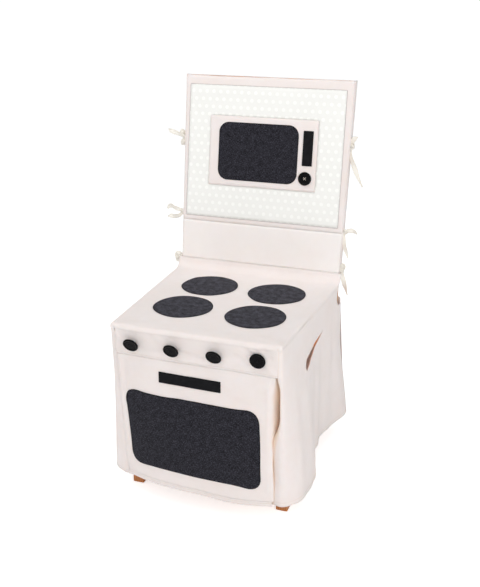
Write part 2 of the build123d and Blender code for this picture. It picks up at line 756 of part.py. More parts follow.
with BuildPart() as microwave_door_panel:
    panel_between(micro_left + micro_gap, micro_right - micro_gap, micro_low + micro_gap,
                  micro_high - micro_gap, micro_stand - cloth, cloth)
finish(microwave_door_panel, "microwave_door_panel")

with BuildPart() as microwave_window:
    panel_between(glass_left, glass_right, glass_low, glass_high, micro_stand, applique, glass_corner)
finish(microwave_window, "microwave_window")

with BuildPart() as microwave_handle:
    panel_between(pull_x - pull_width / 2, pull_x + pull_width / 2, pull_low, pull_high, micro_stand, webbing)
finish(microwave_handle, "microwave_handle")

# ---------------------------------------------------------------- sewn buttons


def sewn_button(base, radius, thickness, stand):
    """A large rimmed button on its thread shank, turned about the shank from a base plane."""
    rise = ease + stand
    dish = rise + thickness - dish_depth
    rim, crown = radius - rim_width, rise + thickness
    with BuildPart() as button:
        with BuildSketch(Plane(origin=base.origin, x_dir=base.x_dir, z_dir=base.y_dir)):
            with BuildLine():
                Polyline((0, -ease), (0, -dish), (rim - dish_depth, -dish), (rim, -crown + 2 * rim_swell))
                ThreePointArc((rim, -crown + 2 * rim_swell), (rim + rim_width / 2, -crown - rim_swell),
                              (radius, -crown + rim_fall))
                Polyline(
                    (radius, -crown + rim_fall), (radius, -rise - button_bevel), (radius - button_bevel, -rise),
                    (shank_radius, -rise), (shank_radius, -(ease + rise) / 2), (shank_tip, -ease), (0, -ease),
                )
            make_face()
        revolve(axis=Axis(base.origin, base.z_dir))
        with Locations(base):
            with PolarLocations(thread_hole_circle, 4, start_angle=45):
                Cylinder(thread_hole_radius, rise + thickness, mode=Mode.SUBTRACT,
                         align=(Align.CENTER, Align.CENTER, Align.MIN))
    return button


for name, (x, droop) in knob_places.items():
    angle = radians(droop)
    tip_y = front_y - shank_tip * sin(angle)
    base = Plane(origin=(x, tip_y, knob_height), x_dir=(1, 0, 0), z_dir=(0, -cos(angle), -sin(angle)))
    stand = (knob_radius * sin(angle) + knob_rim_clearance) / cos(angle)
    finish(sewn_button(base, knob_radius, knob_thickness, stand), name)

button_base = back_plane.offset(micro_stand)
button_base.origin = back_plane.from_local_coords(Vector(button_x, button_rise, micro_stand))
finish(sewn_button(button_base, button_radius, button_thickness, 2 * knob_rim_clearance), "microwave_button")

# ---------------------------------------------------------------- ties
# each tie: side, rise of its knot, then its tails as (outward, up) lists from the knot
tie_shapes = {
    "tie_left_upper": (-1, 316.0, [[(6, 0), (17, 9), (28, 22)], [(6, 0), (16, -14), (13, -30)]]),
    "tie_left_middle": (-1, 133.0, [[(6, 0), (22, 8), (27, -8)], [(6, 0), (14, -16), (10, -34)]]),
    "tie_left_lower": (-1, 8.0, [[(6, 0), (12, -8), (15, -20)]]),
    "tie_right_upper": (1, 318.0, [[(6, 0), (14, 12), (20, 18)], [(6, 0), (12, -28), (24, -64)]]),
    "tie_right_middle": (1, 125.0, [[(6, 0), (20, 2), (28, -8)], [(6, 0), (8, -34), (12, -62)]]),
    "tie_right_lower": (1, 32.0, [[(6, 0), (14, 4), (19, -6)]]),
    "tie_right_seat": (1, 6.0, [[(6, 0), (12, -24), (20, -50)]]),
}


def tie(side, knot_rise, tails):
    """A cotton tape tied in a knot at the cover's side, with its loose tails."""
    edge = cover_half_width(knot_rise)
    with BuildPart() as tape:
        with BuildSketch(back_plane.offset(-(cover_depth - knot_size) / 2)):
            with Locations((side * (edge + ease + knot_size / 2), knot_rise)):
                Rectangle(knot_size, knot_size)
        extrude(amount=-knot_size)
        fillet(tape.edges(), radius=knot_round)
        for index, tail in enumerate(tails):
            depth = -cover_depth / 2 + (index - len(tails) / 2) * 2 * tie_thickness
            with BuildSketch(back_plane.offset(depth)):
                with BuildLine():
                    ThreePointArc(*[(side * (edge + out), knot_rise + up) for out, up in tail])
                trace(line_width=tie_width * 0.8)
            extrude(amount=tie_thickness)
    return tape


for name, (side, knot_rise, tails) in tie_shapes.items():
    finish(tie(side, knot_rise, tails), name)
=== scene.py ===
"""Dresses a cloth play kitchen, slipped over a wooden dining chair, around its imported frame."""

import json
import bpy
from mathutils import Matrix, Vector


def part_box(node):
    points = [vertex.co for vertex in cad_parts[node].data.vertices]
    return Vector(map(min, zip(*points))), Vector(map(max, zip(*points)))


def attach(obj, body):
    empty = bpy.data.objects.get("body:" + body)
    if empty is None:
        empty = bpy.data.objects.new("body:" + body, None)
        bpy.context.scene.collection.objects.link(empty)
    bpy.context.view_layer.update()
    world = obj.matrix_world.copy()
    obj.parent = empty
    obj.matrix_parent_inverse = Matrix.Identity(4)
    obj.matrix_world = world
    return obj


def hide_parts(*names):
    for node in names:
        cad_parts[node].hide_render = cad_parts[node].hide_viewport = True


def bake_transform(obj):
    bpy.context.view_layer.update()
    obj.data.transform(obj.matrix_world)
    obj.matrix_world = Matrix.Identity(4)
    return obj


bl_info = {
    "name": "Cloth Play Kitchen",
    "version": (1, 0, 0),
    "blender": (4, 5, 0),
    "location": "3D View > Sidebar > Play Kitchen",
    "description": "Sews the cloth, trims, wood and studio of a play kitchen that slips over a chair",
    "category": "Object",
}

from math import atan2, ceil, cos, exp, floor, hypot, pi, radians, sin, sqrt, tanh

import bmesh
import bpy
from bpy.props import FloatProperty, FloatVectorProperty, PointerProperty
from mathutils import Matrix, Vector, noise
from mathutils.bvhtree import BVHTree

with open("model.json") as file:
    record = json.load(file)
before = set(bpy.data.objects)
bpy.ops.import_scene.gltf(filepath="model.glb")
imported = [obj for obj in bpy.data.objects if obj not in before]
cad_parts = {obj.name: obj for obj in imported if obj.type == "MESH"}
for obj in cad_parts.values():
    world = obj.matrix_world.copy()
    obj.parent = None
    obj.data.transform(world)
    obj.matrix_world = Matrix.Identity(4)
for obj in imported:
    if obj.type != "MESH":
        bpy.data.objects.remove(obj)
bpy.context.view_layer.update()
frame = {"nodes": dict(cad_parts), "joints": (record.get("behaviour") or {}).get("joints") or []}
MM = 0.001

# ---------------------------------------------------------------- sizes read from the frame


def node_points(node):
    """The corners of a CAD node's mesh."""
    return [v.co.copy() for v in frame["nodes"][node].data.vertices]


def lerp(a, b, share):
    """The value that lies a share of the way from a to b."""
    return a + (b - a) * share


def ease(share):
    """A share that starts and ends gently, held between 0 and 1."""
    share = min(1.0, max(0.0, share))
    return share * share * (3 - 2 * share)


def bell(distance, width):
    """1 in the middle of a fold, falling to nothing over its width."""
    return exp(-((distance / width) ** 2))


JOINTS = {joint["name"]: joint for joint in frame["joints"]}
STRIP_LOW, STRIP_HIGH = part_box("control_strip")
DOOR_LOW, DOOR_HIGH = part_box("oven_door_panel")
BAND_LOW, BAND_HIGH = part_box("front_hem_band")
HOB_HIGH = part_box("hob_panel")[1]
CLOTH = STRIP_HIGH.y - STRIP_LOW.y
SEAT_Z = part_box("burner_front_left")[0].z
FRONT_Y = STRIP_LOW.y
REAR_Y = HOB_HIGH.y - CLOTH
COVE_TOP = HOB_HIGH.z
ROLL = SEAT_Z - STRIP_HIGH.z
COVE = COVE_TOP - SEAT_Z
HEM_Z = BAND_LOW.z
HEM_STITCH = 10.6 * MM
BOARD_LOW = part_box("seat_board")[0].z
FRONT_HALF = max(p.x for p in node_points("hob_panel") if p.y < FRONT_Y + MM)
REAR_HALF = HOB_HIGH.x
RIGHT_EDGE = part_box("right_side_panel")[0].x
LEFT_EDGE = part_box("left_side_panel")[1].x
LEFT_SWELL = 5.5 * MM
RIGHT_SWELL = 1.2 * MM
SKIRT_Y = min(p.y for p in node_points("rear_skirt") if p.z > SEAT_Z - 2 * MM and abs(p.x) < 0.1)

# the leaning back: x across, rise up its slope, proud out of its face
LEAN_UP = -Vector(JOINTS["microwave_door_hinge"]["axis"]).normalized()
BACK_OUT = Vector((0, -LEAN_UP.z, LEAN_UP.y))
BACK_FOOT = Vector((0, REAR_Y, COVE_TOP))


def on_back(x, rise, proud=0.0):
    """A point on the leaning back."""
    return BACK_FOOT + Vector((x, 0, 0)) + LEAN_UP * rise + BACK_OUT * proud


def back_box(node):
    """Lowest and highest (x, rise, proud) of a CAD node on the leaning back."""
    places = [(p.x, (p - BACK_FOOT).dot(LEAN_UP), (p - BACK_FOOT).dot(BACK_OUT)) for p in node_points(node)]
    return [min(axis) for axis in zip(*places)], [max(axis) for axis in zip(*places)]


COVER_LOW, COVER_HIGH = back_box("cover_border")
FOLD_RISE = COVER_LOW[1]
COVER_TOP = COVER_HIGH[1]
COVER_TOP_HALF = COVER_HIGH[0]
COVER_FOOT_HALF = max(p.x for p in node_points("cover_lower_panel") if (p - BACK_FOOT).dot(LEAN_UP) < MM)
COVER_DEPTH = -back_box("cover_rear_panel")[0][2]
DOTS_LOW, DOTS_HIGH = back_box("cover_dotted_panel")
MICRO_LOW, MICRO_HIGH = back_box("microwave_door_panel")


def cover_half(rise):
    """Half the back cover's width at a rise, where the cloth swells a little past the chair."""
    return lerp(COVER_FOOT_HALF, COVER_TOP_HALF, rise / COVER_TOP) + 1.4 * MM


def hob_half(y, side=1):
    """Half the hob's width at a depth; its left edge lies a little fuller."""
    swell = LEFT_SWELL if side < 0 else RIGHT_SWELL
    return lerp(FRONT_HALF, REAR_HALF, (y - FRONT_Y) / (REAR_Y - FRONT_Y)) + swell


def linear(red, green, blue):
    """A colour given as it looks on a screen, as the light values that a shader uses."""
    def channel(value):
        """One channel, out of 255, without the screen's curve."""
        value /= 255
        return value / 12.92 if value <= 0.04045 else ((value + 0.055) / 1.055) ** 2.4

    return (channel(red), channel(green), channel(blue), 1.0)


# ---------------------------------------------------------------- settings


def colour(label, description, *screen):
    """A colour that the user can change, given as it looks on a screen."""
    return FloatVectorProperty(
        name=label, description=description, subtype="COLOR", size=4, min=0, max=1, default=linear(*screen))


def length(label, description, millimetres):
    """A length that the user can change."""
    return FloatProperty(
        name=label, description=description, unit="LENGTH", subtype="DISTANCE", min=0,
        default=millimetres * MM)


class KitchenCloth(bpy.types.PropertyGroup):
    """The canvas, how it hangs and how it is sewn"""

    canvas: colour("Canvas", "Ecru cotton canvas of the cover", 246, 238, 236)
    # the second canvas colour: random patches of yellowing, and the painted shade in the valleys between the
    # yarns
    lining: colour("Canvas shade", "Where the canvas has yellowed or lies in a seam", 236, 224, 217)
    yarn: length("Yarn pitch", "Distance between two canvas yarns", 0.62)
    rumple: length("Rumple", "How deep the canvas is rumpled", 1.1)
    drape: length("Drape", "Depth of the hanging folds at the hem", 1.9)
    edge_round: length("Edge round", "Radius of the seams along the hob's sides", 5.0)
    hem: length("Hem", "Distance from the hem's edge to its stitching", HEM_STITCH / MM)
    stitch: length("Stitch", "Length of one stitch with its gap", 3.4)


class KitchenTrims(bpy.types.PropertyGroup):
    """Denim, webbing, dots, tapes and buttons"""

    denim: colour("Denim", "Charcoal denim of the burners and windows", 14, 13, 19)
    fleck: colour("Denim flecks", "Pale yarns that show in the denim", 90, 89, 101)
    webbing: colour("Webbing", "Black cotton webbing of the handles", 13, 13, 15)
    dots_ground: colour("Dotted ground", "Ground of the dotted cotton", 246, 246, 242)
    dots: colour("Dots", "The printed dots", 254, 254, 250)
    dot_spacing: length("Dot spacing", "Distance between dots in a row", 18.8)
    dot_row: length("Dot rows", "Distance between rows of dots", 18.9)
    dot_size: length("Dot size", "Diameter of a dot", 10.2)
    tape: colour("Cotton tape", "Undyed cotton tape of the ties", 250, 247, 240)
    button: colour("Button", "Black moulded buttons", 5, 5, 6)


class KitchenChair(bpy.types.PropertyGroup):
    """The chair's varnished beech"""

    wood: colour("Wood", "Varnished beech of the chair", 208, 134, 76)
    grain: colour("Grain", "Darker late wood in the grain", 152, 86, 44)
    ring: length("Ring width", "Width of a growth ring", 3.2)


class KitchenStudio(bpy.types.PropertyGroup):
    """Camera, lamps and floor"""

    eye: FloatVectorProperty(
        name="Camera place", description="Where the camera stands", unit="LENGTH", subtype="TRANSLATION",
        default=(0.6998, -1.9124, 1.2033))
    pitch: FloatProperty(
        name="Camera pitch", description="How far the camera looks down", unit="ROTATION", subtype="ANGLE",
        default=radians(20.1))
    yaw: FloatProperty(
        name="Camera yaw", description="How far the camera is turned to the left",
        unit="ROTATION", subtype="ANGLE", default=radians(19.7))
    lens: FloatProperty(name="Lens", description="Focal length", unit="CAMERA", default=54.67)
    sky: FloatProperty(name="Ambient light", description="Strength of the even light", min=0, default=0.40)
    key: FloatProperty(
        name="Key light", description="Power of the large soft lamp", unit="POWER", min=0, default=40.0)
    fill: FloatProperty(
        name="Fill light", description="Power of the lamp above", unit="POWER", min=0, default=31.0)
    side: FloatProperty(
        name="Side light", description="Power of the lamp at the right; the left one has 0.65 of it",
        unit="POWER", min=0, default=24.0)
    glow: FloatProperty(
        name="Inner glow", description="Power of the warm lamp inside the cover",
        unit="POWER", min=0, default=0.12)
    floor: FloatProperty(
        name="Floor white", description="How far the floor is lifted to plain white", min=0, default=0.64)


# ---------------------------------------------------------------- shader nodes


def place(tree, kind, values=None, **settings):
    """Adds a node; values go to its inputs by name or index, and a socket given as a value is joined."""
    made = tree.nodes.new(kind)
    for key, value in settings.items():
        setattr(made, key, value)
    for key, value in (values or {}).items():
        if isinstance(value, bpy.types.NodeSocket):
            tree.links.new(value, made.inputs[key])
        else:
            made.inputs[key].default_value = value
    return made


def sum_of(tree, operation, *terms):
    """A Math node on its terms, which are numbers or sockets."""
    return place(tree, "ShaderNodeMath", dict(enumerate(terms)), operation=operation).outputs[0]


def new_group(name, inputs, outputs):
    """A shader node group with named sockets: (tree, its input sockets, its output node)."""
    tree = bpy.data.node_groups.new(name, "ShaderNodeTree")
    for label, kind, default in inputs:
        socket = tree.interface.new_socket(label, in_out="INPUT", socket_type=kind)
        if default is not None:
            socket.default_value = default
    for label in outputs:
        tree.interface.new_socket(label, in_out="OUTPUT", socket_type="NodeSocketFloat")
    return tree, tree.nodes.new("NodeGroupInput").outputs, tree.nodes.new("NodeGroupOutput")


def group(name, make, inputs, outputs):
    """The named group, made on first use."""
    found = bpy.data.node_groups.get(name)
    if found is None:
        found, given, result = new_group(name, inputs, outputs)
        for label, socket in make(found, given).items():
            found.links.new(socket, result.inputs[label])
    return found


VECTOR, NUMBER = "NodeSocketVector", "NodeSocketFloat"


def plain_weave(tree, given):
    """Over and under yarns of a canvas, with slubs that make some yarns thicker."""
    scaled = place(tree, "ShaderNodeVectorMath", {0: given["Cloth"], "Scale": sum_of(
        tree, "DIVIDE", 1.0, given["Pitch"])}, operation="SCALE").outputs[0]
    split = place(tree, "ShaderNodeSeparateXYZ", {0: scaled}).outputs
    warp = sum_of(tree, "ABSOLUTE", sum_of(tree, "SINE", sum_of(tree, "MULTIPLY", split[0], pi)))
    weft = sum_of(tree, "ABSOLUTE", sum_of(tree, "SINE", sum_of(tree, "MULTIPLY", split[1], pi)))
    cell = sum_of(tree, "ADD", sum_of(tree, "FLOOR", split[0]), sum_of(tree, "FLOOR", split[1]))
    over = sum_of(tree, "MULTIPLY", sum_of(tree, "FRACT", sum_of(tree, "MULTIPLY", cell, 0.5)), 2.0)
    yarns = place(tree, "ShaderNodeMix", {0: over, 2: warp, 3: weft}).outputs[0]
    slubs = []
    for stretch in ((0.05, 1.0, 1.0), (1.0, 0.05, 1.0)):
        run = place(tree, "ShaderNodeVectorMath", {0: scaled, 1: stretch}, operation="MULTIPLY").outputs[0]
        uneven = place(tree, "ShaderNodeTexNoise", {"Vector": run, "Scale": 0.7, "Detail": 1.0})
        slubs.append(uneven.outputs[0])
    slub = sum_of(tree, "MULTIPLY", sum_of(tree, "ADD", *slubs), 0.5)
    return {
        "Height": sum_of(tree, "ADD", yarns, sum_of(tree, "MULTIPLY", slub, given["Slub"])),
        "Gap": sum_of(tree, "SUBTRACT", 1.0, yarns),
        "Slub": slub,
    }


def twill_weave(tree, given):
    """Slanting twill lines of denim, broken up where pale weft yarns show through."""
    scaled = place(tree, "ShaderNodeVectorMath", {0: given["Cloth"], "Scale": sum_of(
        tree, "DIVIDE", 1.0, given["Pitch"])}, operation="SCALE").outputs[0]
    split = place(tree, "ShaderNodeSeparateXYZ", {0: scaled}).outputs
    slant = sum_of(tree, "ADD", split[0], sum_of(tree, "MULTIPLY", split[1], 0.6))
    ridge = sum_of(tree, "ABSOLUTE", sum_of(tree, "SINE", sum_of(tree, "MULTIPLY", slant, pi)))
    yarns = []
    for stretch in ((1.0, 0.3, 1.0), (0.3, 1.0, 1.0)):
        run = place(tree, "ShaderNodeVectorMath", {0: scaled, 1: stretch}, operation="MULTIPLY").outputs[0]
        yarn = place(tree, "ShaderNodeTexNoise", {"Vector": run, "Scale": 0.62, "Detail": 2.0})
        yarns.append(yarn.outputs[0])
    broken = sum_of(tree, "MULTIPLY", sum_of(tree, "ADD", *yarns), 0.5)
    patchy = place(tree, "ShaderNodeTexNoise", {"Vector": scaled, "Scale": 0.34, "Detail": 1.0}).outputs[0]
    shown = place(tree, "ShaderNodeMapRange", {0: broken, 1: 0.46, 2: 0.66}).outputs[0]
    raised = sum_of(tree, "MULTIPLY", shown, sum_of(tree, "SUBTRACT", 1.25, ridge))
    showing = sum_of(tree, "ADD", raised, sum_of(
        tree, "MULTIPLY", sum_of(tree, "SUBTRACT", patchy, 0.5), 0.9))
    return {
        "Height": sum_of(tree, "ADD", ridge, sum_of(tree, "MULTIPLY", broken, 0.7)),
        "Fleck": place(tree, "ShaderNodeClamp", {0: showing}).outputs[0],
    }


def soft_mottle(tree, given):
    """Broad uneven patches, for cloth that has been washed and wood that has aged."""
    broad = place(tree, "ShaderNodeTexNoise", {
        "Vector": given["Place"], "Scale": given["Scale"], "Detail": 4.0, "Roughness": 0.55}).outputs[0]
    steep = place(tree, "ShaderNodeMapRange", {0: broad, 1: 0.32, 2: 0.68}).outputs[0]
    return {"Mask": sum_of(tree, "MULTIPLY", steep, given["Amount"])}


def polka_dots(tree, given):
    """Round dots in staggered rows."""
    split = place(tree, "ShaderNodeSeparateXYZ", {0: given["Cloth"]}).outputs
    rows_apart = sum_of(tree, "MULTIPLY", given["Row"], 2.0)
    nearest = []
    for shift in (0.0, 0.5):
        across = sum_of(tree, "ADD", sum_of(tree, "DIVIDE", split[0], given["Spacing"]), shift)
        along = sum_of(tree, "ADD", sum_of(tree, "DIVIDE", split[1], rows_apart), shift)
        sides = []
        for value, pitch in ((across, given["Spacing"]), (along, rows_apart)):
            offset = sum_of(tree, "SUBTRACT", sum_of(tree, "FRACT", value), 0.5)
            sides.append(sum_of(tree, "POWER", sum_of(tree, "MULTIPLY", offset, pitch), 2.0))
        nearest.append(sum_of(tree, "SQRT", sum_of(tree, "ADD", *sides)))
    reach = sum_of(tree, "MINIMUM", *nearest)
    radius = sum_of(tree, "MULTIPLY", given["Size"], 0.5)
    inner = sum_of(tree, "MULTIPLY", radius, 0.82)
    return {"Mask": place(tree, "ShaderNodeMapRange", {0: reach, 1: radius, 2: inner}).outputs[0]}


def ribbed_tape(tree, given):
    """Fine ribs across a woven tape, with an uneven yarn."""
    split = place(tree, "ShaderNodeSeparateXYZ", {0: given["Cloth"]}).outputs
    turn = sum_of(tree, "DIVIDE", split[0], given["Pitch"])
    rib = sum_of(tree, "ABSOLUTE", sum_of(tree, "SINE", sum_of(tree, "MULTIPLY", turn, pi)))
    cross = sum_of(tree, "ABSOLUTE", sum_of(tree, "SINE", sum_of(tree, "MULTIPLY", sum_of(
        tree, "DIVIDE", split[1], given["Pitch"]), pi * 1.7)))
    return {"Height": sum_of(tree, "ADD", rib, sum_of(tree, "MULTIPLY", cross, 0.35)), "Rib": rib}


def wood_grain(tree, given):
    """Growth rings stretched along the timber, with fine pores."""
    stretched = place(tree, "ShaderNodeVectorMath", {0: given["Place"], 1: given["Stretch"]},
                      operation="MULTIPLY").outputs[0]
    waver = place(tree, "ShaderNodeTexNoise", {"Vector": stretched, "Scale": 18.0, "Detail": 2.0}).outputs[0]
    bent = place(tree, "ShaderNodeVectorMath", {0: stretched, "Scale": 1.0}, operation="SCALE").outputs[0]
    split = place(tree, "ShaderNodeSeparateXYZ", {0: bent}).outputs
    across = sum_of(tree, "ADD", sum_of(tree, "ADD", split[0], split[1]), split[2])
    waved = sum_of(tree, "ADD", across, sum_of(tree, "MULTIPLY", waver, 0.02))
    rings = sum_of(tree, "DIVIDE", waved, given["Ring"])
    wave = sum_of(tree, "ADD", sum_of(tree, "MULTIPLY", sum_of(tree, "SINE", sum_of(
        tree, "MULTIPLY", rings, pi)), 0.5), 0.5)
    pores = place(tree, "ShaderNodeTexNoise", {"Vector": stretched, "Scale": 900.0, "Detail": 2.0}).outputs[0]
    late = sum_of(tree, "POWER", wave, 3.0)
    return {
        "Late Wood": late,
        "Height": sum_of(tree, "ADD", sum_of(tree, "MULTIPLY", late, 0.4), pores),
    }


def weave_group():
    """Canvas weave for any canvas or cotton."""
    return group("Canvas Weave", plain_weave, [
        ("Cloth", VECTOR, None), ("Pitch", NUMBER, 0.62 * MM), ("Slub", NUMBER, 0.8)],
        ["Height", "Gap", "Slub"])


def twill_group():
    """Denim twill."""
    return group("Denim Twill", twill_weave, [("Cloth", VECTOR, None), ("Pitch", NUMBER, 1.1 * MM)],
                 ["Height", "Fleck"])


def mottle_group():
    """Uneven patches for every finish."""
    return group("Soft Mottle", soft_mottle, [
        ("Place", VECTOR, None), ("Scale", NUMBER, 14.0), ("Amount", NUMBER, 1.0)], ["Mask"])


def dots_group():
    """Printed dots."""
    return group("Polka Dots", polka_dots, [
        ("Cloth", VECTOR, None), ("Spacing", NUMBER, 18.8 * MM), ("Row", NUMBER, 9.4 * MM),
        ("Size", NUMBER, 8.6 * MM)], ["Mask"])


def tape_group():
    """Ribs of tape, webbing and thread."""
    return group("Ribbed Tape", ribbed_tape, [("Cloth", VECTOR, None), ("Pitch", NUMBER, 1.2 * MM)],
                 ["Height", "Rib"])


def grain_group():
    """Grain of the chair's wood."""
    return group("Wood Grain", wood_grain, [
        ("Place", VECTOR, None), ("Stretch", VECTOR, (1.0, 1.0, 0.06)), ("Ring", NUMBER, 3.2 * MM)],
        ["Late Wood", "Height"])


def new_material(name):
    """An empty material: (material, its tree, its Principled shader)."""
    made = bpy.data.materials.new(name)
    made.use_nodes = True
    return made, made.node_tree, made.node_tree.nodes["Principled BSDF"]


def use(tree, node_group, values):
    """The outputs of a node group that is given values."""
    return place(tree, "ShaderNodeGroup", values, node_tree=node_group).outputs


def mixed(tree, share, first, second, blend="MIX"):
    """A colour between two colours."""
    return place(tree, "ShaderNodeMix", {0: share, 6: first, 7: second}, data_type="RGBA",
                 blend_type=blend).outputs[2]


def bumped(tree, shader, height, depth, strength=1.0):
    """Gives a shader the relief of a height."""
    bump = place(tree, "ShaderNodeBump", {"Height": height, "Distance": depth, "Strength": strength})
    tree.links.new(bump.outputs[0], shader.inputs["Normal"])


PAINTED_DEEP_SHADE = linear(240, 213, 188)  # painted shade: a warm tan for canvas that lies turned in, where little light reaches


def canvas_material(name, base, shade, pitch):
    """Washed cotton canvas: woven yarns, slubs, a soft uneven tone in random patches, painted shade in the
    valleys between the yarns, and a warm painted shade where the Deep attribute marks cloth that turns in.
    """
    made, tree, shader = new_material(name)
    cloth = place(tree, "ShaderNodeUVMap").outputs[0]
    body = place(tree, "ShaderNodeTexCoord").outputs["Object"]
    weave = use(tree, weave_group(), {"Cloth": cloth, "Pitch": pitch, "Slub": 0.9})
    broad = use(tree, mottle_group(), {"Place": body, "Scale": 9.0, "Amount": 0.30})["Mask"]
    fine = use(tree, mottle_group(), {"Place": body, "Scale": 60.0, "Amount": 0.12})["Mask"]
    # painted shade: the valleys between the yarns are darkened towards the shade colour
    yarn = sum_of(tree, "MULTIPLY", weave["Gap"], 0.22)
    share = sum_of(tree, "ADD", sum_of(tree, "ADD", broad, fine), yarn)
    # painted shade: the Deep attribute blends in a warm tan where the cloth turns in behind the oven door and
    # at the right panel's front edge
    deep = place(tree, "ShaderNodeAttribute", attribute_name="Deep").outputs["Fac"]
    tree.links.new(mixed(tree, deep, mixed(tree, share, base, shade), PAINTED_DEEP_SHADE),
                   shader.inputs["Base Color"])
    rough = place(tree, "ShaderNodeMapRange", {0: weave["Slub"], 3: 0.84, 4: 0.96}).outputs[0]
    tree.links.new(rough, shader.inputs["Roughness"])
    shader.inputs["Specular IOR Level"].default_value = 0.25
    shader.inputs["Sheen Weight"].default_value = 0.12
    shader.inputs["Sheen Roughness"].default_value = 0.5
    shader.inputs["Subsurface Weight"].default_value = 0.3
    shader.inputs["Subsurface Radius"].default_value = (1.0, 0.8, 0.66)
    shader.inputs["Subsurface Scale"].default_value = 1.2 * MM
    bumped(tree, shader, weave["Height"], 0.16 * MM, 0.5)
    return made


def dotted_material(trims, pitch):
    """Printed cotton with staggered dots."""
    made, tree, shader = new_material("Dotted Cotton")
    cloth = place(tree, "ShaderNodeUVMap").outputs[0]
    weave = use(tree, weave_group(), {"Cloth": cloth, "Pitch": pitch * 0.6, "Slub": 0.4})
    dots = use(tree, dots_group(), {
        "Cloth": cloth, "Spacing": trims.dot_spacing, "Row": trims.dot_row, "Size": trims.dot_size})["Mask"]
    broad = use(tree, mottle_group(), {"Place": cloth, "Scale": 12.0, "Amount": 0.25})["Mask"]
    ground = mixed(tree, broad, tuple(trims.dots_ground), linear(239, 239, 235))
    tree.links.new(mixed(tree, dots, ground, tuple(trims.dots)), shader.inputs["Base Color"])
    rough = place(tree, "ShaderNodeMapRange", {0: dots, 3: 0.88, 4: 0.7}).outputs[0]
    tree.links.new(rough, shader.inputs["Roughness"])
    shader.inputs["Specular IOR Level"].default_value = 0.25
    shader.inputs["Sheen Weight"].default_value = 0.08
    height = sum_of(tree, "ADD", weave["Height"], sum_of(tree, "MULTIPLY", dots, 0.5))
    bumped(tree, shader, height, 0.1 * MM, 0.5)
    return made


def denim_material(name, trims, wash):
    """Charcoal denim with pale flecks and a soft nap, paler in random patches; a larger wash also makes it
    paler overall, a painted light.
    """
    made, tree, shader = new_material(name)
    cloth = place(tree, "ShaderNodeUVMap").outputs[0]
    twill = use(tree, twill_group(), {"Cloth": cloth, "Pitch": 0.9 * MM})
    broad = use(tree, mottle_group(), {"Place": cloth, "Scale": 75.0, "Amount": wash})["Mask"]
    fleck = sum_of(tree, "ADD", sum_of(tree, "MULTIPLY", twill["Fleck"], 0.7), broad)
    tree.links.new(mixed(tree, fleck, tuple(trims.denim), tuple(trims.fleck)), shader.inputs["Base Color"])
    rough = place(tree, "ShaderNodeMapRange", {0: twill["Fleck"], 3: 0.85, 4: 0.98}).outputs[0]
    tree.links.new(rough, shader.inputs["Roughness"])
    shader.inputs["Specular IOR Level"].default_value = 0.1
    shader.inputs["Sheen Weight"].default_value = 0.05
    shader.inputs["Sheen Roughness"].default_value = 0.6
    bumped(tree, shader, twill["Height"], 0.25 * MM, 0.6)
    return made


def tape_material(name, tone, shade, pitch, roughness):
    """Ribbed woven tape, for webbing, ties and stitching."""
    made, tree, shader = new_material(name)
    cloth = place(tree, "ShaderNodeUVMap").outputs[0]
    ribs = use(tree, tape_group(), {"Cloth": cloth, "Pitch": pitch})
    broad = use(tree, mottle_group(), {"Place": cloth, "Scale": 90.0, "Amount": 0.4})["Mask"]
    # painted shade: the valleys between the ribs are darkened towards the shade colour
    between = sum_of(tree, "MULTIPLY", sum_of(tree, "SUBTRACT", 1.0, ribs["Rib"]), 0.4)
    share = sum_of(tree, "ADD", between, broad)
    tree.links.new(mixed(tree, share, tone, shade), shader.inputs["Base Color"])
    rough = place(tree, "ShaderNodeMapRange", {0: ribs["Rib"], 3: roughness, 4: roughness - 0.12}).outputs[0]
    tree.links.new(rough, shader.inputs["Roughness"])
    shader.inputs["Specular IOR Level"].default_value = 0.1
    bumped(tree, shader, ribs["Height"], 0.2 * MM, 0.7)
    return made


def button_material(trims):
    """Black moulded plastic, rubbed a little duller in patches."""
    made, tree, shader = new_material("Black Button")
    body = place(tree, "ShaderNodeTexCoord").outputs["Object"]
    rubbed = use(tree, mottle_group(), {"Place": body, "Scale": 220.0, "Amount": 1.0})["Mask"]
    tree.links.new(mixed(tree, rubbed, tuple(trims.button), linear(15, 14, 16)), shader.inputs["Base Color"])
    rough = place(tree, "ShaderNodeMapRange", {0: rubbed, 3: 0.24, 4: 0.4}).outputs[0]
    tree.links.new(rough, shader.inputs["Roughness"])
    shader.inputs["Specular IOR Level"].default_value = 0.1
    grit = place(tree, "ShaderNodeTexNoise", {"Vector": body, "Scale": 1400.0, "Detail": 2.0}).outputs[0]
    bumped(tree, shader, grit, 0.03 * MM, 0.4)
    return made


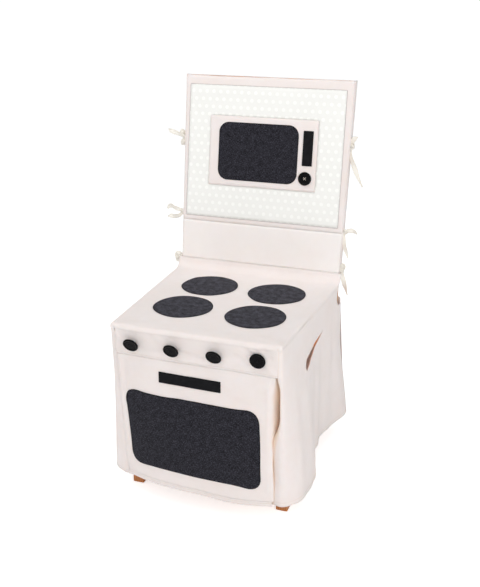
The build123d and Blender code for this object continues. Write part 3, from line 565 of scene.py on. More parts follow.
def wood_material(name, chair, stretch, soaked=0.0):
    """Varnished beech with its grain along one axis and paler worn edges; soaked makes the wood emit its own
    colour, a painted glow that stands for light coming through the cloth onto it.
    """
    made, tree, shader = new_material(name)
    body = place(tree, "ShaderNodeTexCoord").outputs["Object"]
    grain = use(tree, grain_group(), {"Place": body, "Stretch": stretch, "Ring": chair.ring})
    broad = use(tree, mottle_group(), {"Place": body, "Scale": 11.0, "Amount": 0.35})["Mask"]
    share = sum_of(tree, "ADD", sum_of(tree, "MULTIPLY", grain["Late Wood"], 0.45), broad)
    timber = mixed(tree, share, tuple(chair.wood), tuple(chair.grain))
    edge = place(tree, "ShaderNodeNewGeometry").outputs["Pointiness"]
    worn = place(tree, "ShaderNodeMapRange", {0: edge, 1: 0.53, 2: 0.6, 3: 0.0, 4: 0.35}).outputs[0]
    tree.links.new(mixed(tree, worn, timber, linear(214, 156, 104)), shader.inputs["Base Color"])
    rough = place(tree, "ShaderNodeMapRange", {0: grain["Late Wood"], 3: 0.36, 4: 0.5}).outputs[0]
    tree.links.new(rough, shader.inputs["Roughness"])
    shader.inputs["Coat Weight"].default_value = 0.25
    shader.inputs["Coat Roughness"].default_value = 0.25
    # painted light: the wood glows with its own colour, standing for light that comes through the thin cloth
    if soaked:
        tree.links.new(timber, shader.inputs["Emission Color"])
        shader.inputs["Emission Strength"].default_value = soaked
    bumped(tree, shader, grain["Height"], 0.08 * MM, 0.5)
    return made


def steel_material():
    """Zinc plated steel of the hidden screws."""
    made, tree, shader = new_material("Plated Steel")
    body = place(tree, "ShaderNodeTexCoord").outputs["Object"]
    dull = use(tree, mottle_group(), {"Place": body, "Scale": 400.0, "Amount": 1.0})["Mask"]
    steel = mixed(tree, dull, linear(176, 178, 180), linear(150, 150, 148))
    tree.links.new(steel, shader.inputs["Base Color"])
    rough = place(tree, "ShaderNodeMapRange", {0: dull, 3: 0.3, 4: 0.5}).outputs[0]
    tree.links.new(rough, shader.inputs["Roughness"])
    shader.inputs["Metallic"].default_value = 1.0
    return made


def pile_material(name, tone, shade):
    """Hook or loop fastening tape with a fuzzy pile."""
    made, tree, shader = new_material(name)
    cloth = place(tree, "ShaderNodeUVMap").outputs[0]
    pile = place(tree, "ShaderNodeTexVoronoi", {"Vector": cloth, "Scale": 900.0}).outputs[0]
    tree.links.new(mixed(tree, pile, tone, shade), shader.inputs["Base Color"])
    rough = place(tree, "ShaderNodeMapRange", {0: pile, 3: 0.8, 4: 1.0}).outputs[0]
    tree.links.new(rough, shader.inputs["Roughness"])
    bumped(tree, shader, pile, 0.4 * MM, 0.8)
    return made


def material(key):
    """A finish of the kitchen, made on first use."""
    scene = bpy.context.scene
    cloth, trims, chair = scene.kitchen_cloth, scene.kitchen_trims, scene.kitchen_chair
    makers = {
        "Ecru Canvas": lambda name: canvas_material(
            name, tuple(cloth.canvas), tuple(cloth.lining), cloth.yarn),
        # painted light: a lighter copy of the ecru canvas, for the lower back panel that catches light
        # bounced from the hob
        "Pale Canvas": lambda name: canvas_material(
            name, linear(252, 245, 242), linear(244, 234, 229), cloth.yarn),
        "Dotted Cotton": lambda name: dotted_material(trims, cloth.yarn),
        "Charcoal Denim": lambda name: denim_material(name, trims, 0.14),
        # the burners' denim: random paler patches, and painted light for the light that falls on the level
        # hob
        "Washed Denim": lambda name: denim_material(name, trims, 0.45),
        "Black Webbing": lambda name: tape_material(
            name, tuple(trims.webbing), linear(34, 34, 37), 1.5 * MM, 0.75),
        "Cotton Tape": lambda name: tape_material(
            name, tuple(trims.tape), linear(240, 232, 218), 1.1 * MM, 0.95),
        "Ecru Thread": lambda name: tape_material(
            name, linear(236, 224, 212), linear(214, 198, 182), 0.35 * MM, 0.9),
        "Dark Thread": lambda name: tape_material(
            name, linear(26, 25, 29), linear(46, 45, 50), 0.5 * MM, 0.85),
        # painted shadow: a grey-mauve tone for the bead that stands for the shade along the dotted panel's
        # raised edge
        "Seam Shade": lambda name: tape_material(
            name, linear(212, 202, 200), linear(192, 182, 182), 0.5 * MM, 0.95),
        "Black Button": lambda name: button_material(trims),
        "Beech Upright": lambda name: wood_material(name, chair, (1.0, 1.0, 0.05)),
        "Beech Across": lambda name: wood_material(name, chair, (0.05, 1.0, 1.0)),
        # the side aprons and corner blocks glow a little: painted light that stands for light coming through
        # the cloth
        "Beech Deep": lambda name: wood_material(name, chair, (1.0, 0.05, 1.0), 0.5),
        "Plated Steel": lambda name: steel_material(),
        "Loop Tape": lambda name: pile_material(name, linear(236, 232, 224), linear(214, 208, 198)),
    }
    return bpy.data.materials.get(key) or makers[key](key)


# ---------------------------------------------------------------- sewing


def spaced(low, high, step, seams=()):
    """Places from low to high a step apart, closer together beside each seam."""
    count = max(1, ceil((high - low) / step))
    places = [lerp(low, high, i / count) for i in range(count + 1)]
    for seam in seams:
        places += [seam + shift * MM for shift in (-3.5, -1.8, -0.8, 0, 0.8, 1.8, 3.5)]
    kept = [low]
    for value in sorted(places):
        if kept[-1] + 0.4 * MM < value < high - 0.4 * MM:
            kept.append(value)
    return kept + [high]


def running(points):
    """Distances along a row of points."""
    travelled = [0.0]
    for a, b in zip(points, points[1:]):
        travelled.append(travelled[-1] + (b - a).length)
    return travelled


def finish_piece(made, finish, body, replaces):
    """Gives a piece its finish, its place on a body and the CAD nodes that it stands for."""
    made.data.materials.append(material(finish))
    if body:
        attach(made, body)
    if replaces:
        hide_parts(*replaces)
    return made


def mesh_object(name, builder):
    """A bmesh turned into an object of the scene."""
    mesh = bpy.data.meshes.new(name)
    builder.to_mesh(mesh)
    builder.free()
    made = bpy.data.objects.new(name, mesh)
    bpy.context.scene.collection.objects.link(made)
    return made


def sew(name, rows, facing, finish="Ecru Canvas", slot="canvas", body="root", replaces=(), skip=None,
        thickness=CLOTH, held="hung", rests_on=(), weld=False, deep=None):
    """A sheet of cloth through rows of points, its face towards facing; deep marks where it turns in and is
    stored as the Deep attribute, which the canvas uses for a painted shade.
    """
    builder = bmesh.new()
    uv = builder.loops.layers.uv.new("UVMap")
    shade = builder.verts.layers.float.new("Deep")
    corners = [[builder.verts.new(p) for p in row] for row in rows]
    if deep:
        for j, row in enumerate(corners):
            for i, corner in enumerate(row):
                corner[shade] = deep(i, j)
    across = [running(row) for row in rows]
    along = [running([row[i] for row in rows]) for i in range(len(rows[0]))]
    for j in range(len(rows) - 1):
        for i in range(len(rows[0]) - 1):
            if skip and skip(i, j):
                continue
            ring = ((i, j), (i + 1, j), (i + 1, j + 1), (i, j + 1))
            face = builder.faces.new([corners[b][a] for a, b in ring])
            face.smooth = True
            for loop, (a, b) in zip(face.loops, ring):
                loop[uv].uv = (across[b][a] - across[b][-1] / 2, along[a][b])
    bmesh.ops.delete(builder, geom=[v for v in builder.verts if not v.link_faces], context="VERTS")
    if weld:
        bmesh.ops.remove_doubles(builder, verts=builder.verts, dist=0.02 * MM)
    builder.normal_update()
    if sum(f.normal.dot(facing) * f.calc_area() for f in builder.faces) < 0:
        bmesh.ops.reverse_faces(builder, faces=builder.faces)
    area = sum(f.calc_area() for f in builder.faces)
    made = mesh_object(name, builder)
    if thickness:
        shell = made.modifiers.new("Cloth thickness", "SOLIDIFY")
        shell.thickness, shell.offset = thickness, -1
    finish_piece(made, finish, body, replaces)
    return made


def ring_path(points):
    """A closed path's points with the first repeated at its end."""
    return list(points) + [points[0]]


def bead(name, path, normals, width, height, finish, body, closed=False, sides=6):
    """A low rounded line of thread or piping along a path."""
    builder = bmesh.new()
    uv = builder.loops.layers.uv.new("UVMap")
    count = len(path)
    rings = []
    for i, (point, normal) in enumerate(zip(path, normals)):
        before = path[i - 1] if i or closed else path[i]
        after = path[(i + 1) % count] if i < count - 1 or closed else path[i]
        side = (after - before).cross(normal).normalized()
        ring = []
        for k in range(sides):
            turn = 2 * pi * k / sides
            ring.append(builder.verts.new(
                point + side * (width / 2 * cos(turn)) + normal * (height / 2 * sin(turn))))
        rings.append(ring)
    travelled = running(path)
    spans = count if closed else count - 1
    for i in range(spans):
        a, b = rings[i], rings[(i + 1) % count]
        start = travelled[i]
        end = travelled[i + 1] if i < count - 1 else start + (path[0] - path[-1]).length
        for k in range(sides):
            n = (k + 1) % sides
            face = builder.faces.new((a[k], a[n], b[n], b[k]))
            face.smooth = True
            corners = ((start, k), (start, k + 1), (end, k + 1), (end, k))
            for loop, (along, around) in zip(face.loops, corners):
                loop[uv].uv = (along, around * width / sides)
    if not closed:
        builder.faces.new(rings[0])
        builder.faces.new(list(reversed(rings[-1])))
    bmesh.ops.recalc_face_normals(builder, faces=builder.faces)
    return finish_piece(mesh_object(name, builder), finish, body, ())


def stitching(name, path, normals, pitch, finish="Ecru Thread", body="root", width=0.7 * MM,
              height=0.5 * MM):
    """A row of separate stitches along a path, each sunk a little at its ends."""
    builder = bmesh.new()
    uv = builder.loops.layers.uv.new("UVMap")
    travelled = running(path)
    total = travelled[-1]
    count = max(1, int(total / pitch))
    index = 0

    def at(distance):
        """The point and the outward direction at a distance along the path."""
        nonlocal index
        while index < len(travelled) - 2 and travelled[index + 1] < distance:
            index += 1
        share = (distance - travelled[index]) / max(1e-9, travelled[index + 1] - travelled[index])
        return path[index].lerp(path[index + 1], share), normals[index].lerp(normals[index + 1], share)

    profile = ((0.0, 0.15, -0.5), (0.2, 0.9, 0.3), (0.5, 1.0, 0.6), (0.8, 0.9, 0.3), (1.0, 0.15, -0.5))
    sides = 5
    for n in range(count):
        start = (n + 0.12) / count * total
        reach = 0.76 / count * total
        rings = []
        for along, girth, lift in profile:
            point, normal = at(start + along * reach)
            ahead, _ = at(start + along * reach + 0.01 * MM)
            run = (ahead - point).normalized() if (ahead - point).length > 0 else Vector((1, 0, 0))
            side = run.cross(normal).normalized()
            centre = point + normal * (lift * height)
            rings.append([builder.verts.new(
                centre + side * (cos(2 * pi * k / sides) * width / 2 * girth)
                + normal * (sin(2 * pi * k / sides) * height / 2 * girth)) for k in range(sides)])
        for a, b in zip(rings, rings[1:]):
            for k in range(sides):
                face = builder.faces.new((a[k], a[(k + 1) % sides], b[(k + 1) % sides], b[k]))
                face.smooth = True
                for loop in face.loops:
                    loop[uv].uv = (loop.vert.co.x, loop.vert.co.z)
        builder.faces.new(rings[0])
        builder.faces.new(list(reversed(rings[-1])))
    bmesh.ops.recalc_face_normals(builder, faces=builder.faces)
    return finish_piece(mesh_object(name, builder), finish, body, ())


def patch(name, outline, surface, proud, finish, body, replaces, edge=1.0 * MM, rings=10):
    """A flat shape sewn on: its outline on a surface, filled inwards, with a turned-down edge."""
    builder = bmesh.new()
    uv = builder.loops.layers.uv.new("UVMap")
    middle = (sum(a for a, _ in outline) / len(outline), sum(b for _, b in outline) / len(outline))
    reach = sum(hypot(a - middle[0], b - middle[1]) for a, b in outline) / len(outline)
    steps = [(1.0, -0.1), (1.0 - 0.25 * edge / reach, 0.45), (1.0 - edge / reach, 0.9),
             (1.0 - 2.5 * edge / reach, 1.0)]
    steps += [(steps[-1][0] * (1 - (k + 1) / rings), 1.0) for k in range(rings - 1)]
    loops = []
    for share, lift in steps:
        loop = []
        for a, b in outline:
            x, z = lerp(middle[0], a, share), lerp(middle[1], b, share)
            point, normal = surface(x, z)
            loop.append((builder.verts.new(point + normal * (proud * lift)), (x, z)))
        loops.append(loop)
    point, normal = surface(*middle)
    centre = (builder.verts.new(point + normal * proud), middle)
    count = len(outline)
    for outer, inner in zip(loops, loops[1:]):
        for i in range(count):
            n = (i + 1) % count
            ring = (outer[i], outer[n], inner[n], inner[i])
            face = builder.faces.new([v for v, _ in ring])
            face.smooth = True
            for loop, (_, place_uv) in zip(face.loops, ring):
                loop[uv].uv = place_uv
    for i in range(count):
        ring = (loops[-1][i], loops[-1][(i + 1) % count], centre)
        face = builder.faces.new([v for v, _ in ring])
        face.smooth = True
        for loop, (_, place_uv) in zip(face.loops, ring):
            loop[uv].uv = place_uv
    builder.normal_update()
    if sum(f.normal.dot(normal) * f.calc_area() for f in builder.faces) < 0:
        bmesh.ops.reverse_faces(builder, faces=builder.faces)
    area = sum(f.calc_area() for f in builder.faces)
    made = finish_piece(mesh_object(name, builder), finish, body, replaces)
    return made


def rounded_outline(left, right, low, high, corner, step=6 * MM):
    """A rectangle with round corners as a closed list of points."""
    points = []
    for cx, cz, start in ((right - corner, high - corner, 0), (left + corner, high - corner, 90),
                          (left + corner, low + corner, 180), (right - corner, low + corner, 270)):
        turns = max(2, ceil(corner * pi / 2 / (step / 2)))
        for k in range(turns + 1):
            turn = radians(start + 90 * k / turns)
            points.append((cx + corner * cos(turn), cz + corner * sin(turn)))
    filled = []
    for a, b in zip(points, points[1:] + points[:1]):
        filled.append(a)
        gap = hypot(b[0] - a[0], b[1] - a[1])
        for k in range(1, int(gap / step)):
            share = k / int(gap / step)
            filled.append((lerp(a[0], b[0], share), lerp(a[1], b[1], share)))
    return filled


def satin_edge(name, outline, surface, proud, finish, body, width=2.2 * MM, height=1.0 * MM):
    """A close satin stitch that covers the edge of a patch."""
    path, normals = [], []
    for a, b in outline:
        point, normal = surface(a, b)
        path.append(point + normal * proud)
        normals.append(normal)
    return bead(name, path, normals, width, height, finish, body, closed=True, sides=8)


# ---------------------------------------------------------------- how the cloth lies


def rumple(point, size, depth, seed=0.0):
    """An even unrest of the cloth: broad and fine waves together."""
    where = point / size + Vector((seed, seed * 1.7, seed * 0.3))
    return depth * (noise.noise(where) + 0.4 * noise.noise(where * 2.3))


# folds of the front, in millimetres: from (x, height over the strip's seam) to the same, width, depth
FRONT_FOLDS = (
    (-186, 60, -168, 40, 6, -1.6), (-192, 50, -172, 26, 5, 1.0), (-150, 62, -146, 52, 5, -0.9),
    (-96, 58, -70, 34, 9, 0.9), (-58, 64, -54, 54, 4, -0.9), (-46, 64, -49, 54, 4, -0.9),
    (-36, 22, 32, 14, 7, -2.0), (-34, 6, 30, 4, 6, 1.0), (44, 64, 48, 54, 4, -0.9), (56, 64, 53, 54, 4, -0.9),
    (70, 16, 128, 22, 7, 1.2), (96, 34, 132, 14, 6, -1.8), (108, 58, 132, 44, 4.5, -2.0),
    (120, 66, 138, 52, 6, 1.5), (150, 66, 150, 54, 8, 1.3), (160, 58, 178, 40, 4.5, -1.5),
    (-136, 12, -66, 16, 7, -1.1), (-190, 8, -150, 12, 6, -0.8), (166, 22, 181, 6, 6, 1.0),
    (-184, -12, -176, -300, 9, 1.6), (-174, -20, -168, -290, 7, -1.4), (172, -30, 175, -290, 7, 1.2),
    (-120, -16, -20, -26, 10, 0.8), (0, -18, 90, -12, 12, -0.8), (-60, -62, 50, -72, 9, 0.7),
    (110, -18, 174, -36, 10, 0.8), (-150, -40, -100, -60, 10, -0.7), (90, -74, 170, -84, 9, -0.7),
)
# folds of the hob, in millimetres: from (x, depth behind the front) to the same, width, depth
HOB_FOLDS = (
    (-198, 4, -120, 30, 9, 1.0), (196, 6, 140, 40, 10, 1.2), (186, 2, 160, 24, 6, -1.0),
    (-214, 430, -150, 360, 12, 0.9), (214, 430, 170, 350, 12, 1.4), (200, 380, 196, 240, 10, -0.8),
    (-40, 20, 60, 26, 14, 0.8), (-10, 240, 14, 330, 18, 0.6), (-190, 150, -184, 300, 14, -0.6),
    (206, 300, 198, 120, 9, 0.9),
)


FOLD_STRENGTH = 1.5


def folded(folds, a, b):
    """Height of the folds at a point of the panel, in metres."""
    a, b = a / MM, b / MM
    height = 0.0
    for x0, z0, x1, z1, width, depth in folds:
        run, rise = x1 - x0, z1 - z0
        along = ((a - x0) * run + (b - z0) * rise) / (run * run + rise * rise)
        near = min(1.0, max(0.0, along))
        away = hypot(a - x0 - run * near, b - z0 - rise * near)
        if away < 3 * width:
            height += depth * bell(away, width)
    return FOLD_STRENGTH * height * MM


# where the control strip is sewn to the side panels, either side of the middle
LEFT_SEAM, RIGHT_SEAM = -STRIP_LOW.x + 1.5 * MM, STRIP_HIGH.x + 10.8 * MM


def strip_seam(x):
    """Height of the control strip's lower edge, which falls a little to the right."""
    return STRIP_LOW.z - 0.8 * MM - x * 0.009 + 0.5 * MM * sin(x / 0.055)


class FrontFace:
    """The front of the cover: flat above, carried out and back by the skirt's swing below."""

    def __init__(self):
        points = node_points("front_hem_band")
        mesh = frame["nodes"]["front_hem_band"].data
        tree = BVHTree.FromPolygons([v.co for v in mesh.vertices], [list(p.vertices) for p in mesh.polygons])
        self.left, self.right = min(p.x for p in points), max(p.x for p in points)
        self.count = 120
        self.hem = []
        for i in range(self.count + 1):
            x = lerp(self.left + 0.3 * MM, self.right - 0.3 * MM, i / self.count)
            before = Vector((x, FRONT_Y - 0.2, (BAND_LOW.z + BAND_HIGH.z) / 2))
            hit = tree.ray_cast(before, Vector((0, 1, 0)))[0]
            self.hem.append(hit.y)

    def hem_y(self, x):
        """How far forward the hem stands at a place across."""
        place_on = (x - self.left) / (self.right - self.left) * self.count
        i = min(self.count - 1, max(0, int(floor(place_on))))
        return lerp(self.hem[i], self.hem[i + 1], min(1.0, max(0.0, place_on - i)))

    def push(self, x, z):
        """How far the cloth stands out of the plain face."""
        settings = bpy.context.scene.kitchen_cloth
        point = Vector((x, 0, z))
        push = rumple(point, 0.07, settings.rumple * 0.8, 2.0)
        push += rumple(point, 0.022, settings.rumple * 0.22, 5.0)
        push += folded(FRONT_FOLDS, x, z - STRIP_LOW.z)
        for name in KNOBS:
            centre = Vector(JOINTS[f"{name}_turn"]["pos_m"])
            away = hypot(x - centre.x, z - centre.z)
            push += 1.0 * MM * bell(away, 10 * MM)
            push -= 1.6 * MM * bell(hypot(x - centre.x, z - centre.z + 17 * MM), 11 * MM)
        room = lerp(6.0, 1.1, ease((z - BOARD_LOW + 10 * MM) / (10 * MM))) * MM
        return push if push > 0 else -room * tanh(-push / room)

    def __call__(self, x, z, proud=0.0):
        """(point, normal) on the front at a place across and a height."""
        share = min(1.0, max(0.0, DOOR_HIGH.z - z) / (DOOR_HIGH.z - BAND_HIGH.z))
        y = lerp(FRONT_Y, self.hem_y(x), share) - self.push(x, z) - proud
        return Vector((x, y, z)), Vector((0, -1, 0))

    def normal_at(self, x, z):
        """The outward direction of the folded cloth."""
        step = 1.5 * MM
        a, b = self(x - step, z)[0], self(x + step, z)[0]
        c, d = self(x, z - step)[0], self(x, z + step)[0]
        return (b - a).cross(d - c).normalized()

    def sewn(self, x, z):
        """(point, outward normal) for what is sewn on the front."""
        return self(x, z)[0], self.normal_at(x, z)


KNOBS = ("knob_left_outer", "knob_left_inner", "knob_right_inner", "knob_right_outer")
front_face = FrontFace()


def hob_lift(x, y):
    """How far the hob's cloth stands over the seat."""
    settings = bpy.context.scene.kitchen_cloth
    point = Vector((x, y, 0))
    push = rumple(point, 0.085, settings.rumple * 0.7, 9.0)
    push += rumple(point, 0.03, settings.rumple * 0.2, 3.0)
    return push + folded(HOB_FOLDS, x, y - FRONT_Y)


def hob_surface(x, y):
    """(point, normal) on the flat of the hob."""
    return Vector((x, y, SEAT_Z + hob_lift(x, y))), Vector((0, 0, 1))


def hob_profile(along):
    """(y, z, outward y, outward z, share of the roll) at a distance over the hob from its front seam."""
    roll_length = ROLL * pi / 2
    flat_length = REAR_Y - COVE - FRONT_Y - ROLL
    if along < 0:
        return FRONT_Y, STRIP_HIGH.z + along, -1.0, 0.0, 0.0
    if along < roll_length:
        turn = along / ROLL
        y, z = FRONT_Y + ROLL * (1 - cos(turn)), STRIP_HIGH.z + ROLL * sin(turn)
        return y, z, -cos(turn), sin(turn), along / roll_length
    if along < roll_length + flat_length:
        return FRONT_Y + ROLL + along - roll_length, SEAT_Z, 0.0, 1.0, 1.0
    turn = min(pi / 2, (along - roll_length - flat_length) / COVE)
    return REAR_Y - COVE + COVE * sin(turn), SEAT_Z + COVE * (1 - cos(turn)), -sin(turn), cos(turn), 1.0


HOB_LAP = 3 * MM
HOB_RUN = ROLL * pi / 2 + COVE * pi / 2 + REAR_Y - COVE - FRONT_Y - ROLL


# the burners and how far each is sewn off its place, in millimetres
BURNERS = {
    "burner_front_left": (0, 0.5), "burner_front_right": (2.2, -5),
    "burner_rear_left": (4, -6.5), "burner_rear_right": (4.6, -8.5),
}


def burner_outline(middle, reach, count=96):
    """A circle cut by hand, so not quite round."""
    outline = []
    for k in range(count):
        turn = 2 * pi * k / count
        wide = 1 + 0.008 * sin(5 * pi * k / 48 + middle.x * 40)
        deep = 1 + 0.006 * sin(7 * pi * k / 48 + middle.y * 60)
        outline.append((middle.x + reach * cos(turn) * wide, middle.y + reach * sin(turn) * deep))
    return outline


def build_hob(settings):
    """The hob's cloth, its seams and its four denim burners."""
    radius = settings.edge_round
    flats = [(i / 72 * 2 - 1, 0.0) for i in range(73)]
    turns = [0.35, 0.7, 1.0, 1.3, 1.5]
    columns = [(-1.0, -t) for t in reversed(turns)] + flats + [(1.0, t) for t in turns]
    rows = []
    for along in [-HOB_LAP, -HOB_LAP / 2] + spaced(0.0, HOB_RUN, 5 * MM, (ROLL * pi / 2,)):
        row = []
        for share, turn in columns:
            lap = ease((FRONT_HALF - ROLL - abs(share) * FRONT_HALF) / (14 * MM))
            y, z, out_y, out_z, rolled = hob_profile(max(along, -HOB_LAP * lap if along < -HOB_LAP * 0.6
                                                         else -HOB_LAP * 0.5 * lap))
            x = share * (hob_half(y, share) - radius) + radius * sin(turn)
            lift = lerp(front_face.push(x, z), hob_lift(x, y), ease(rolled))
            lift += 0.3 * MM * lap * bell(max(0.0, along), 6 * MM)
            lift -= radius * (1 - cos(turn)) + 0.2 * MM * bell(HOB_RUN - along, 2 * MM)
            row.append(Vector((x, y + out_y * lift, z + out_z * lift)))
        rows.append(row)
    sew("hob_cloth", rows, Vector((0, 0, 1)), replaces=["hob_panel"], held="stretched",
        rests_on=["seat_board"])
    for name, shift in BURNERS.items():
        low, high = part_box(name)
        middle, reach = (low + high) / 2 + Vector((*shift, 0)) * MM, (high.x - low.x) / 2 * 0.99
        outline = burner_outline(middle, reach)
        # the burners take the denim that is painted paler: partly random patches, partly painted light on the
        # level hob
        patch(f"{name}_denim", outline, hob_surface, high.z - low.z, "Washed Denim", "root", [name])
        satin_edge(f"{name}_edge", outline, hob_surface, 0.8 * MM, "Dark Thread", "root")


def behind_front(x, z, depth):
    """A point behind the face of the front, following its folds."""
    return front_face(x, z)[0] + Vector((0, depth, 0))


def front_stitching(name, line, proud, stitch):
    """Stitching on the front's cloth, a little proud of its line."""
    stitching(name, [p + Vector((0, -proud, 0)) for p in line], [Vector((0, -1, 0))] * len(line), stitch)


def build_front(settings):
    """The control strip, and the closure flap with its tape behind it."""
    columns = spaced(-LEFT_SEAM, RIGHT_SEAM, 2.6 * MM)
    rows = []
    for share in spaced(0.0, 1.0, 0.035):
        row = []
        for x in columns:
            low = strip_seam(x)
            z = lerp(low, STRIP_HIGH.z, share)
            point = front_face(x, z)[0]
            point.y -= 0.6 * MM * bell(z - low, 3 * MM)
            row.append(point)
        rows.append(row)
    sew("control_strip_cloth", rows, Vector((0, -1, 0)), replaces=["control_strip"], rests_on=["hob_cloth"])
    seam = rows[2]
    front_stitching("control_strip_seam", seam, 0.2 * MM, settings.stitch)
    flap_low, flap_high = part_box("closure_flap")
    tape_low, tape_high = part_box("loop_tape")
    hang = tape_high.y - FRONT_Y
    rows = []
    for z in spaced(flap_low.z, flap_high.z, 6 * MM):
        behind = lerp(hang, CLOTH, ease((z - STRIP_LOW.z + 9 * MM) / (18 * MM)))
        rows.append([behind_front(x, z, behind) for x in spaced(flap_low.x, flap_high.x, 6 * MM)])
    sew("closure_flap_cloth", rows, Vector((0, -1, 0)), replaces=["closure_flap"],
        rests_on=["control_strip_cloth"])
    outline = rounded_outline(tape_low.x, tape_high.x, tape_low.z, tape_high.z, 3 * MM)
    patch("loop_tape_pile", outline, lambda x, z: (behind_front(x, z, hang), Vector((0, -1, 0))),
          tape_high.y - tape_low.y, "Loop Tape", "root", ["loop_tape"], rings=3)


# how far the door's right edge stands out of its plain line: (below the strip, outwards), in millimetres
DOOR_BOW = ((0, 6.0), (55, -3.0), (160, -3.0), (190, 0.5), (290, 4.5), (330, 4.5))
# the cloth turned in at that edge, as shares of how far it reaches and how deep it goes
DOOR_TURNING = ((0.12, 0.03), (0.28, 0.1), (0.45, 0.24), (0.65, 0.46), (0.85, 0.76), (1.0, 1.0))
DOOR_COLUMNS = 104


def build_oven_door(settings):
    """The hem band and the oven door that is sewn to it, with its window, handle and hook tape."""
    band_rows = []
    for z in spaced(BAND_LOW.z, BAND_HIGH.z + 0.6 * MM, 2.2 * MM):
        row = []
        for x in spaced(BAND_LOW.x, BAND_HIGH.x, 4 * MM):
            point = front_face(x, max(z, BAND_LOW.z))[0]
            point.z += hem_lift(x, z)
            point.y -= 0.5 * MM * (1 - bell(z - BAND_HIGH.z, 2.5 * MM))
            row.append(point)
        band_rows.append(row)
    sew("front_hem_cloth", band_rows, Vector((0, -1, 0)), replaces=["front_hem_band"],
        rests_on=["left_side_cloth"])
    line = band_rows[-3]
    front_stitching("front_hem_seam", line, 0.1 * MM, settings.stitch)
    rows = []
    low = BAND_HIGH.z + 0.6 * MM
    for share in spaced(0.0, 1.0, 0.0125):
        row = []
        height = lerp(low, STRIP_LOW.z, share)
        left = DOOR_LOW.x - 4.5 * MM * ease((height - low) / (40 * MM))
        drop = STRIP_LOW.z - height
        right = DOOR_HIGH.x + DOOR_BOW[0][1] * MM
        for (drop0, out0), (drop1, out1) in zip(DOOR_BOW, DOOR_BOW[1:]):
            if drop / MM > drop0:
                right = DOOR_HIGH.x + lerp(out0, out1, ease((drop / MM - drop0) / (drop1 - drop0))) * MM
        for step in range(DOOR_COLUMNS + 1):
            x = lerp(left, right, step / DOOR_COLUMNS)
            z = lerp(low, strip_seam(x) - 0.7 * MM, share)
            point = front_face(x, z)[0]
            point.z += hem_lift(x, z)
            point.y += 1.8 * MM * bell(x - left, 3.5 * MM) + 2.4 * MM * bell(right - x, 5 * MM)
            row.append(point)
        curl = ease((180 * MM - drop) / (60 * MM))
        gap = ease((PULL_LOW + 14 * MM - drop) / (30 * MM))
        room = RIGHT_EDGE + max(4 * MM, pulled_open(height)) - 3 * MM - right
        turn = min(lerp(3 * MM, 20 * MM, curl), room)
        deep = lerp(6, 34, gap) * MM
        for reach, depth in DOOR_TURNING:
            row.append(row[DOOR_COLUMNS] + Vector((reach * gap * turn, depth * deep, 0)))
        rows.append(row)
    # painted shade: the turned-in columns at the door's right edge are marked Deep, so the canvas paints them
    # a warm shade
    door = sew("oven_door_cloth", rows, Vector((0, -1, 0)), body=None, replaces=["oven_door_panel"],
               rests_on=["front_hem_cloth"],
               deep=lambda i, j: ease((i - DOOR_COLUMNS) / 5) if i > DOOR_COLUMNS else 0.0)
    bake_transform(door)
    outline = hand_cut(rim_outline("oven_window"))
    patch("oven_window_denim", outline, front_face.sewn, 1.2 * MM, "Charcoal Denim", "oven_door",
          ["oven_window"], rings=16)
    satin_edge("oven_window_edge", outline, front_face.sewn, 0.8 * MM, "Dark Thread", "oven_door")
    low_corner, high_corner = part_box("oven_handle")
    handle = [(x - 1.2 * MM, z - 1.4 * MM - 0.012 * x) for x, z in rounded_outline(
        low_corner.x, high_corner.x, low_corner.z, high_corner.z + 0.4 * MM, 0.8 * MM, 5 * MM)]
    patch("oven_handle_webbing", handle, front_face.sewn, 2.0 * MM, "Black Webbing", "oven_door",
          ["oven_handle"], edge=0.6 * MM, rings=5)
    tape_low, tape_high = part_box("hook_tape")
    outline = rounded_outline(tape_low.x, tape_high.x, tape_low.z, tape_high.z, 3 * MM)
    patch("hook_tape_pile", outline,
          lambda x, z: (behind_front(x, z, tape_low.y - FRONT_Y), Vector((0, 1, 0))),
          tape_high.y - tape_low.y, "Loop Tape", "oven_door", ["hook_tape"], rings=3)


def hem_lift(x, z):
    """The hem rises towards the front right corner and over the left half."""
    share = 4.0 * ease((x - 0.03) / 0.2) + 7.0 * ease((0.1 - x) / 0.1) - 3.0 * ease((-x - 0.165) / 0.02)
    return share * MM * bell(z - HEM_Z, 60 * MM)


# how the hand-cut oven window differs from an even one: share across, lower edge, upper edge (up, mm)
WINDOW_CUT = ((0.0, -10.5, -3.0), (0.12, -11.0, -3.2), (0.3, -9.6, -0.8), (0.42, -9.2, 3.6),
              (0.55, -9.0, 6.2), (0.8, -6.6, 7.6), (0.9, -7.2, 9.2), (1.0, -8.6, 9.0))
WINDOW_LEFT_CUT, WINDOW_RIGHT_CUT = -6.2 * MM, -1.6 * MM


def hand_cut(outline):
    """The oven window's outline as it was cut, a little larger and less even."""
    lows = [min(axis) for axis in zip(*outline)]
    highs = [max(axis) for axis in zip(*outline)]
    cut = []
    for a, b in outline:
        across, up = ((v - low) / (high - low) for v, low, high in zip((a, b), lows, highs))
        for (s0, low0, high0), (s1, low1, high1) in zip(WINDOW_CUT, WINDOW_CUT[1:]):
            if s0 <= across <= s1:
                share = (across - s0) / (s1 - s0)
                lower, upper = lerp(low0, low1, share), lerp(high0, high1, share)
        rise = lerp(lower, upper, ease((up + 0.14 * across - 0.25) / 0.55)) * MM
        corner = 5 * MM * bell(min(across, 1 - across), 0.1) * bell(min(up, 1 - up), 0.14)
        moved = a + lerp(WINDOW_LEFT_CUT, WINDOW_RIGHT_CUT, across)
        cut.append((moved + (corner if across > 0.5 else -corner),
                    b + rise + (corner if up > 0.5 else -corner)))
    return cut


